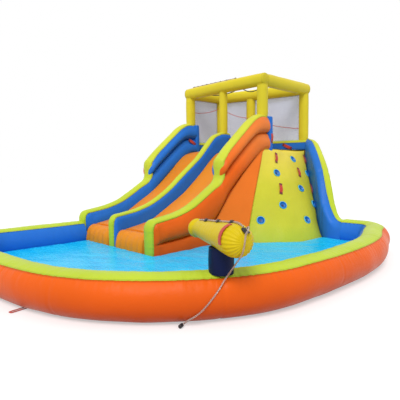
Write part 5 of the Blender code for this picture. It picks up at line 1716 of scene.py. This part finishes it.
def addSprayFeed(stops):
    # from the first nozzle to the second and on to the right beam
    stops = stops + [Vector((*spray["feedEnd"], spray["nozzleZ"]))]
    points = [stops[0] - flat(spray["feedLead"], 0)]
    for start, end, sag in zip(stops, stops[1:], spray["sags"]):
        for k in range(9):
            share = k / 9
            points.append(start.lerp(end, share) + Vector((0, 0.007, -sag * 4 * share * (1 - share))))
    points.append(stops[-1])
    route = inRow(points)
    feed, path = addTube("sprayFeed", route, spray["feedRadius"], sides=12, stations=140, shift=False)
    dress(feed, finishes["black"], nodes=("spray_feed",))
    lengthOf(path)
    [tuple(point) for point in path]


def addSprayNozzles(stops):
    table = [(index, Vector(point)) for index, point in enumerate(spray["nozzle"])]

    def shape(u, v):
        point = lookUp(table, v * (len(table) - 1))
        angle = 2 * math.pi * u
        return Vector((-point.y, point.x * math.cos(angle), point.x * math.sin(angle))), 1.0
    nozzle = addSkin("nozzle", 24, 48, shape, capRings=1, shift=False)
    tilt = Matrix.Rotation(math.radians(spray["tilt"]), 4, "Y")
    for number, stop in enumerate(stops):
        place = Matrix.Translation(stop + flat(-0.01, -towerSetback)) @ tilt
        dress(copyTo(nozzle, "sprayNozzle%d" % (number + 1), place), finishes["black"])
    bpy.data.objects.remove(nozzle, do_unlink=True)


def addSpray():
    stops = [Vector((x, spray["nozzleY"], spray["nozzleZ"])) for x in spray["nozzleX"]]
    addSprayHose()
    addSprayFeed(stops)
    addSprayNozzles(stops)


addSpray()
print("spray line tied on")


# Water cannon on its post

cannon = {
    "pivot": (2.60158, -2.87386), "height": 0.625, "heading": 161.0, "rear": 0.334, "front": 0.435,
    "rearRadius": 0.117, "neckRadius": 0.066, "mouthRadius": 0.078, "capDepth": 0.115,
    "gathers": 22,
    # the barrel from the cap's seam, as (place after the seam, radius), and on to the mouth, as
    # (place, radius)
    "barrelStart": ((0.0005, 0.1155), (0.012, 0.1175), (0.05, 0.1155)),
    "barrel": ((-0.05, 0.1025), (0.10, 0.0895), (0.25, 0.0768), (0.345, 0.0680), (0.372, 0.0655), (0.392, 0.0700),
               (0.408, 0.0775), (0.424, 0.0785), (0.4345, 0.0715)),
    "nozzle": ((0.0, 0.017), (0.22, 0.017), (0.26, 0.0135), (0.40, 0.0135), (0.44, 0.0150), (0.52, 0.0150),
               (0.56, 0.0128), (0.84, 0.0105), (1.0, 0.0070)),
    "hoseRadius": 0.0072, "hoseLift": 0.0086,
    # the hose's end behind the seam, as (back, height, side)
    "hoseEnd": ((-0.030, 0.1235, -0.003), (-0.055, 0.1145, -0.007), (-0.075, 0.1040, -0.012)),
    # clips: a saddle with two feet, as (side, height)
    "clips": (-0.165, 0.035, 0.235), "clipLong": 0.026,
    "saddle": ((-0.022, -0.0080), (-0.022, -0.0025), (-0.014, -0.0015), (-0.0135, 0.005), (-0.008, 0.0125),
               (0.0, 0.0140), (0.008, 0.0125), (0.0135, 0.005), (0.014, -0.0015), (0.022, -0.0025),
               (0.022, -0.0080), (0.009, -0.0085), (-0.009, -0.0085)),
    "gripPlace": 0.014, "gripHalf": 0.018, "gripFrom": 74.0, "gripTurn": 84.0, "gripThick": 0.0036,
    "barrelFolds": clothFolds(0.0012, 0.08), "capFolds": clothFolds(0.0012, 0.06),
}
cannonSeam = cannon["capDepth"] - cannon["rear"]
cannonWay = flat(math.cos(math.radians(cannon["heading"])), math.sin(math.radians(cannon["heading"])))
cannonAcross = Vector((-cannonWay.y, cannonWay.x, 0.0))


def cannonAxis(place, height=0.0, side=0.0):
    return flat(*cannon["pivot"]) + cannonWay * place + cannonAcross * side + upward * (cannon["height"] + height)


def cannonRadius(place):
    share = (place - cannonSeam) / (cannon["front"] - cannonSeam)
    return cannon["rearRadius"] + (cannon["neckRadius"] - cannon["rearRadius"]) * min(max(share / 0.9, 0), 1)


def turned(name, profile, around, stations, gather, capRings):
    # a turned body on the cannon's middle line; profile: (place, radius)
    line = evenly([Vector(point) for point in profile], stations + 1)

    def shape(u, v):
        place, radius = line[round(v * stations)]
        angle = 2 * math.pi * u
        radius += gather(angle, place)
        return cannonAxis(place, radius * math.sin(angle), radius * math.cos(angle)), 0.02
    return addSkin(name, around, stations, shape, capRings=capRings)


def addBarrelAndCap():
    depth = cannon["capDepth"]

    def pulled(angle, place):
        # the barrel's cloth is gathered where the cap is sewn to it
        return 0.0030 * math.cos(cannon["gathers"] * angle) * math.exp(-(place - cannonSeam) / 0.035)
    start = tuple((cannonSeam + place, radius) for place, radius in cannon["barrelStart"])
    barrel = turned("cannonBarrel", start + cannon["barrel"], 72, 100, pulled, 5)
    ruffle(barrel, cannon["barrelFolds"])
    dress(barrel, finishes["cannonYellow"], "cannon", ("cannon_barrel",))

    def pleats(angle, place):
        # pleats run in to the middle of the cap
        share = (cannonSeam - place) / depth
        return 0.0035 * math.cos(cannon["gathers"] * angle) * (0.4 + share) * (1 - 0.3 * share)
    steps = [(cannonSeam - depth * k / 10, cannon["rearRadius"] * math.sqrt(1 - (0.985 * k / 10) ** 2.2))
             for k in range(11)]
    cap = turned("cannonCap", steps, 132, 40, pleats, 3)
    ruffle(cap, cannon["capFolds"])
    dress(cap, finishes["cannonYellow"], "cannon", ("cannon_cap",))


def addCannonNozzle():
    drop = -cannon["mouthRadius"] * 0.5
    line = [cannonAxis(cannon["front"] + place, drop) for place in (-0.004, 0.015, 0.030)]
    stub, _ = addTube("cannonNozzle", line, cannon["nozzle"], sides=20, stations=40)
    dress(stub, finishes["black"], "cannon", ("cannon_nozzle",))


def addCannonHose():
    lift, front = cannon["hoseLift"], cannon["front"] * 0.84
    stops = [front + (cannonSeam - front) * k / 8 for k in range(9)]
    line = [cannonAxis(stop, cannonRadius(stop) + lift) for stop in stops]
    line += [cannonAxis(cannonSeam + back, height, side) for back, height, side in cannon["hoseEnd"]]
    hose, _ = addTube("cannonHose", line, cannon["hoseRadius"], sides=12, stations=80)
    dress(hose, finishes["clear"], "cannon", ("cannon_hose",))

    # black clips hold that hose down
    saddle = cannon["saddle"]
    for number, place in enumerate(cannon["clips"]):
        def clipShape(u, v, place=place):
            side, height = saddle[round(u * len(saddle)) % len(saddle)]
            return cannonAxis(place + (v - 0.5) * cannon["clipLong"], cannonRadius(place) + lift + height, side), 1.0
        clip = addSkin("cannonClip%d" % (number + 1), len(saddle), 4, clipShape, capRings=1)
        dress(clip, finishes["black"], "cannon")


def addGrip():
    # the strap round the side, over the cap's seam
    middle, half = cannonSeam + cannon["gripPlace"], cannon["gripHalf"]

    def shape(u, v):
        angle = math.radians(cannon["gripFrom"] - cannon["gripTurn"] * v)
        index = round(u * 8) % 8
        place = middle + (-1, -0.5, 0.5, 1, 1, 0.5, -0.5, -1)[index] * half
        out = max(cannonRadius(middle - half), cannonRadius(place)) + 0.0012 + 0.006 * math.sin(math.pi * v)
        out += cannon["gripThick"] if index < 4 else 0.0
        return cannonAxis(place, out * math.sin(angle), out * math.cos(angle)), 0.01
    grip = addSkin("cannonGrip", 8, 44, shape, capRings=1)
    dress(grip, finishes["red"], "cannon", ("cannon_handle",))


# the valve out of the cap, as (place, radius): its square plate, collar and spout
valve = {
    "length": 0.0186, "squareSteps": 4,
    "profile": ((0.0, 0.022), (0.003, 0.0255), (0.007, 0.0255), (0.0085, 0.022), (0.0086, 0.0165), (0.0115, 0.0165),
                (0.0120, 0.0140), (0.0140, 0.0125), (0.0142, 0.0108), (0.0186, 0.0104)),
}


def addValve():
    # it points along the start of the supply hose
    tip, after = (Vector(point) for point in supplyHose["valve"])
    way = (after - tip).normalized()
    back = tip - way * valve["length"]
    side = way.cross(upward).normalized()
    top = side.cross(way)
    profile = valve["profile"]

    def shape(u, v):
        index = round(v * (len(profile) - 1))
        along, radius = profile[index]
        a, b = squareAt(2 * math.pi * u, 0.35 if index <= valve["squareSteps"] else 1.0)
        return back + way * along + side * (a * radius) + top * (b * radius), 1.0
    made = addSkin("cannonValve", 40, len(profile) - 1, shape, capRings=2)
    dress(made, finishes["black"], "cannon", ("cannon_valve",))


cannonPost = {"bottom": 0.3603, "top": 0.5400, "wide": 0.17, "sunk": 0.012,
              "folds": clothFolds(0.002, 0.08, 0.002, 0.03, 0.02)}


def addCannonPost():
    bottom, top = cannonPost["bottom"], cannonPost["top"]

    def shape(u, v):
        a, b = squareAt(2 * math.pi * u, 0.95)
        swell = 1.06 + 0.05 * math.sin(math.pi * v) ** 0.6 if 0 < v < 1 else 1.06
        half = cannonPost["wide"] / 2 * swell
        z = bottom - cannonPost["sunk"] + (top - bottom + cannonPost["sunk"] + 0.002) * v
        place = flat(*cannon["pivot"]) + cannonWay * (a * half) + cannonAcross * (b * half)
        return place + upward * z, min(v, 1 - v) * (top - bottom)
    post = addSkin("cannonPost", 48, 36, shape, capRings=3)
    ruffle(post, cannonPost["folds"], 67.0)
    dress(post, finishes["navy"], nodes=("cannon_post",))


addBarrelAndCap()
addCannonNozzle()
addCannonHose()
addGrip()
addValve()
addCannonPost()
print("cannon mounted")


# Stake loop at the pool's edge and the blower's sleeve at the back

stakeLoop = {"root": (1.3042, -3.8153), "out": (0.1973, -0.9803), "wide": 0.05, "length": 0.14,
             "strand": 0.016, "thick": 0.0048}


def addAnchorLoop():
    out = flat(*stakeLoop["out"]).normalized()
    side = Vector((-out.y, out.x, 0))
    root, strand, stations = flat(*stakeLoop["root"]), stakeLoop["strand"], 60
    reach, half = stakeLoop["length"] - strand / 2, (stakeLoop["wide"] - strand) / 2
    bends = ((-1, 0), (-1, 0.5), (-0.9, 0.93), (0, 1), (0.9, 0.93), (1, 0.5), (1, 0))
    path = evenly([root + side * (half * a) + out * (reach * b) for a, b in bends], stations + 1)
    ways = waysOf(path)

    def shape(u, v):
        j = round(v * stations)
        a, b = squareAt(2 * math.pi * u, 0.5)
        z = 0.0028 + 0.002 * math.sin(math.pi * v) + b * stakeLoop["thick"] / 2
        return path[j] + Vector((-ways[j].y, ways[j].x, 0)) * (a * strand / 2) + upward * z, 0.01
    strap = addSkin("anchorLoop", 16, stations, shape, capRings=1)
    dress(strap, finishes["red"], nodes=("anchor_loop",))


sleeve = {
    "x": -0.35, "radius": 0.10, "length": 0.42, "tieAt": 0.90, "tieRadius": 0.70, "tieHalf": 0.012,
    "sizes": ((0.0, 1.0), (0.3, 0.97), (0.5, 0.92), (0.7, 0.87), (0.80, 0.82), (0.86, 0.75), (0.90, 0.70),
              (0.94, 0.76), (1.0, 0.86)),
    "gathers": 14, "gather": 0.0035,
    "folds": clothFolds(0.003, 0.10),
}


def addSleeve():
    start = backLine(sleeve["x"] + sleeve["radius"]) + 0.0003
    table = smoothTable(sleeve["sizes"])
    low = 0.001

    def shape(u, v):
        angle = 2 * math.pi * u
        size = lookUp(table, v) * sleeve["radius"]
        near = math.exp(-((v - sleeve["tieAt"]) / 0.08) ** 2)
        r = size + sleeve["gather"] * math.cos(sleeve["gathers"] * angle) * near
        return Vector((sleeve["x"] + r * math.cos(angle), start + sleeve["length"] * v,
                       max(low, size + r * math.sin(angle)))), 0.02
    skin = addSkin("inflationSleeve", 84, 70, shape, capRings=4)
    ruffle(skin, sleeve["folds"])
    dress(skin, finishes["orange"], nodes=("inflation_sleeve",))

    # the tie that holds it round a blower's outlet
    def tieShape(u, v):
        turn = 2 * math.pi * v
        a, b = squareAt(2 * math.pi * u, 0.5)
        r = sleeve["radius"] * sleeve["tieRadius"] + 0.004 + 0.002 * b
        y = start + sleeve["length"] * sleeve["tieAt"] + sleeve["tieHalf"] * a
        z = sleeve["radius"] * (sleeve["tieRadius"] + 0.01) + r * math.sin(turn)
        return Vector((sleeve["x"] + r * math.cos(turn), y, max(low, z))), 0.01
    tie = addSkin("sleeveTie", 12, 60, tieShape, capRings=1)
    dress(tie, finishes["red"])


addAnchorLoop()
addSleeve()
print("loop and sleeve sewn on")


# Floor, backdrop and light

studio = {"floorSize": 60.0, "floorDrop": -0.0015, "floorColour": 0.62, "floorGlow": 0.46, "worldLight": 0.66,
          "keyPower": 1.75, "keyAngle": 24.0, "keyAim": (-0.42, 0.62, -0.85)}


def seenDirectly(tree):
    # one where the camera sees it, straight or through glass or in a reflection
    paths = tree.nodes.new("ShaderNodeLightPath")
    seen = mathNode(tree, "MAXIMUM", paths.outputs["Is Camera Ray"], paths.outputs["Is Glossy Ray"])
    return mathNode(tree, "MAXIMUM", seen, paths.outputs["Is Transmission Ray"])


def addFloor():
    deselectAll()
    bpy.ops.mesh.primitive_plane_add(size=studio["floorSize"], location=(0, 0, studio["floorDrop"]))
    floor = bpy.context.object
    floor.name = "studioFloor"
    made = bpy.data.materials.new("studioFloor")
    made.use_nodes = True
    tree = made.node_tree
    tree.nodes.clear()
    output = tree.nodes.new("ShaderNodeOutputMaterial")
    diffuse = tree.nodes.new("ShaderNodeBsdfDiffuse")
    diffuse.inputs["Color"].default_value = (studio["floorColour"],) * 3 + (1.0,)
    glow = tree.nodes.new("ShaderNodeEmission")
    tree.links.new(mathNode(tree, "MULTIPLY", seenDirectly(tree), studio["floorGlow"]), glow.inputs["Strength"])
    both = tree.nodes.new("ShaderNodeAddShader")
    tree.links.new(diffuse.outputs[0], both.inputs[0])
    tree.links.new(glow.outputs[0], both.inputs[1])
    tree.links.new(both.outputs[0], output.inputs["Surface"])
    floor.data.materials.append(made)


def addLight():
    world = bpy.data.worlds.new("studioLight")
    bpy.context.scene.world = world
    world.use_nodes = True
    tree = world.node_tree
    background = tree.nodes["Background"]
    background.inputs["Color"].default_value = (1.0, 1.0, 1.0, 1.0)
    seen = seenDirectly(tree)
    tree.links.new(mathNode(tree, "ADD", mathNode(tree, "MULTIPLY", seen, 1.0 - studio["worldLight"]),
                            studio["worldLight"]), background.inputs["Strength"])

    bpy.ops.object.light_add(type="SUN")
    key = bpy.context.object
    key.name = "keyLight"
    key.data.energy = studio["keyPower"]
    key.data.angle = math.radians(studio["keyAngle"])
    aim = Vector(studio["keyAim"]).normalized()
    key.rotation_euler = aim.to_track_quat("-Z", "Y").to_euler()
    bpy.context.scene.view_settings.view_transform = "Standard"


addFloor()
addLight()
print("studio lit")

deselectAll()
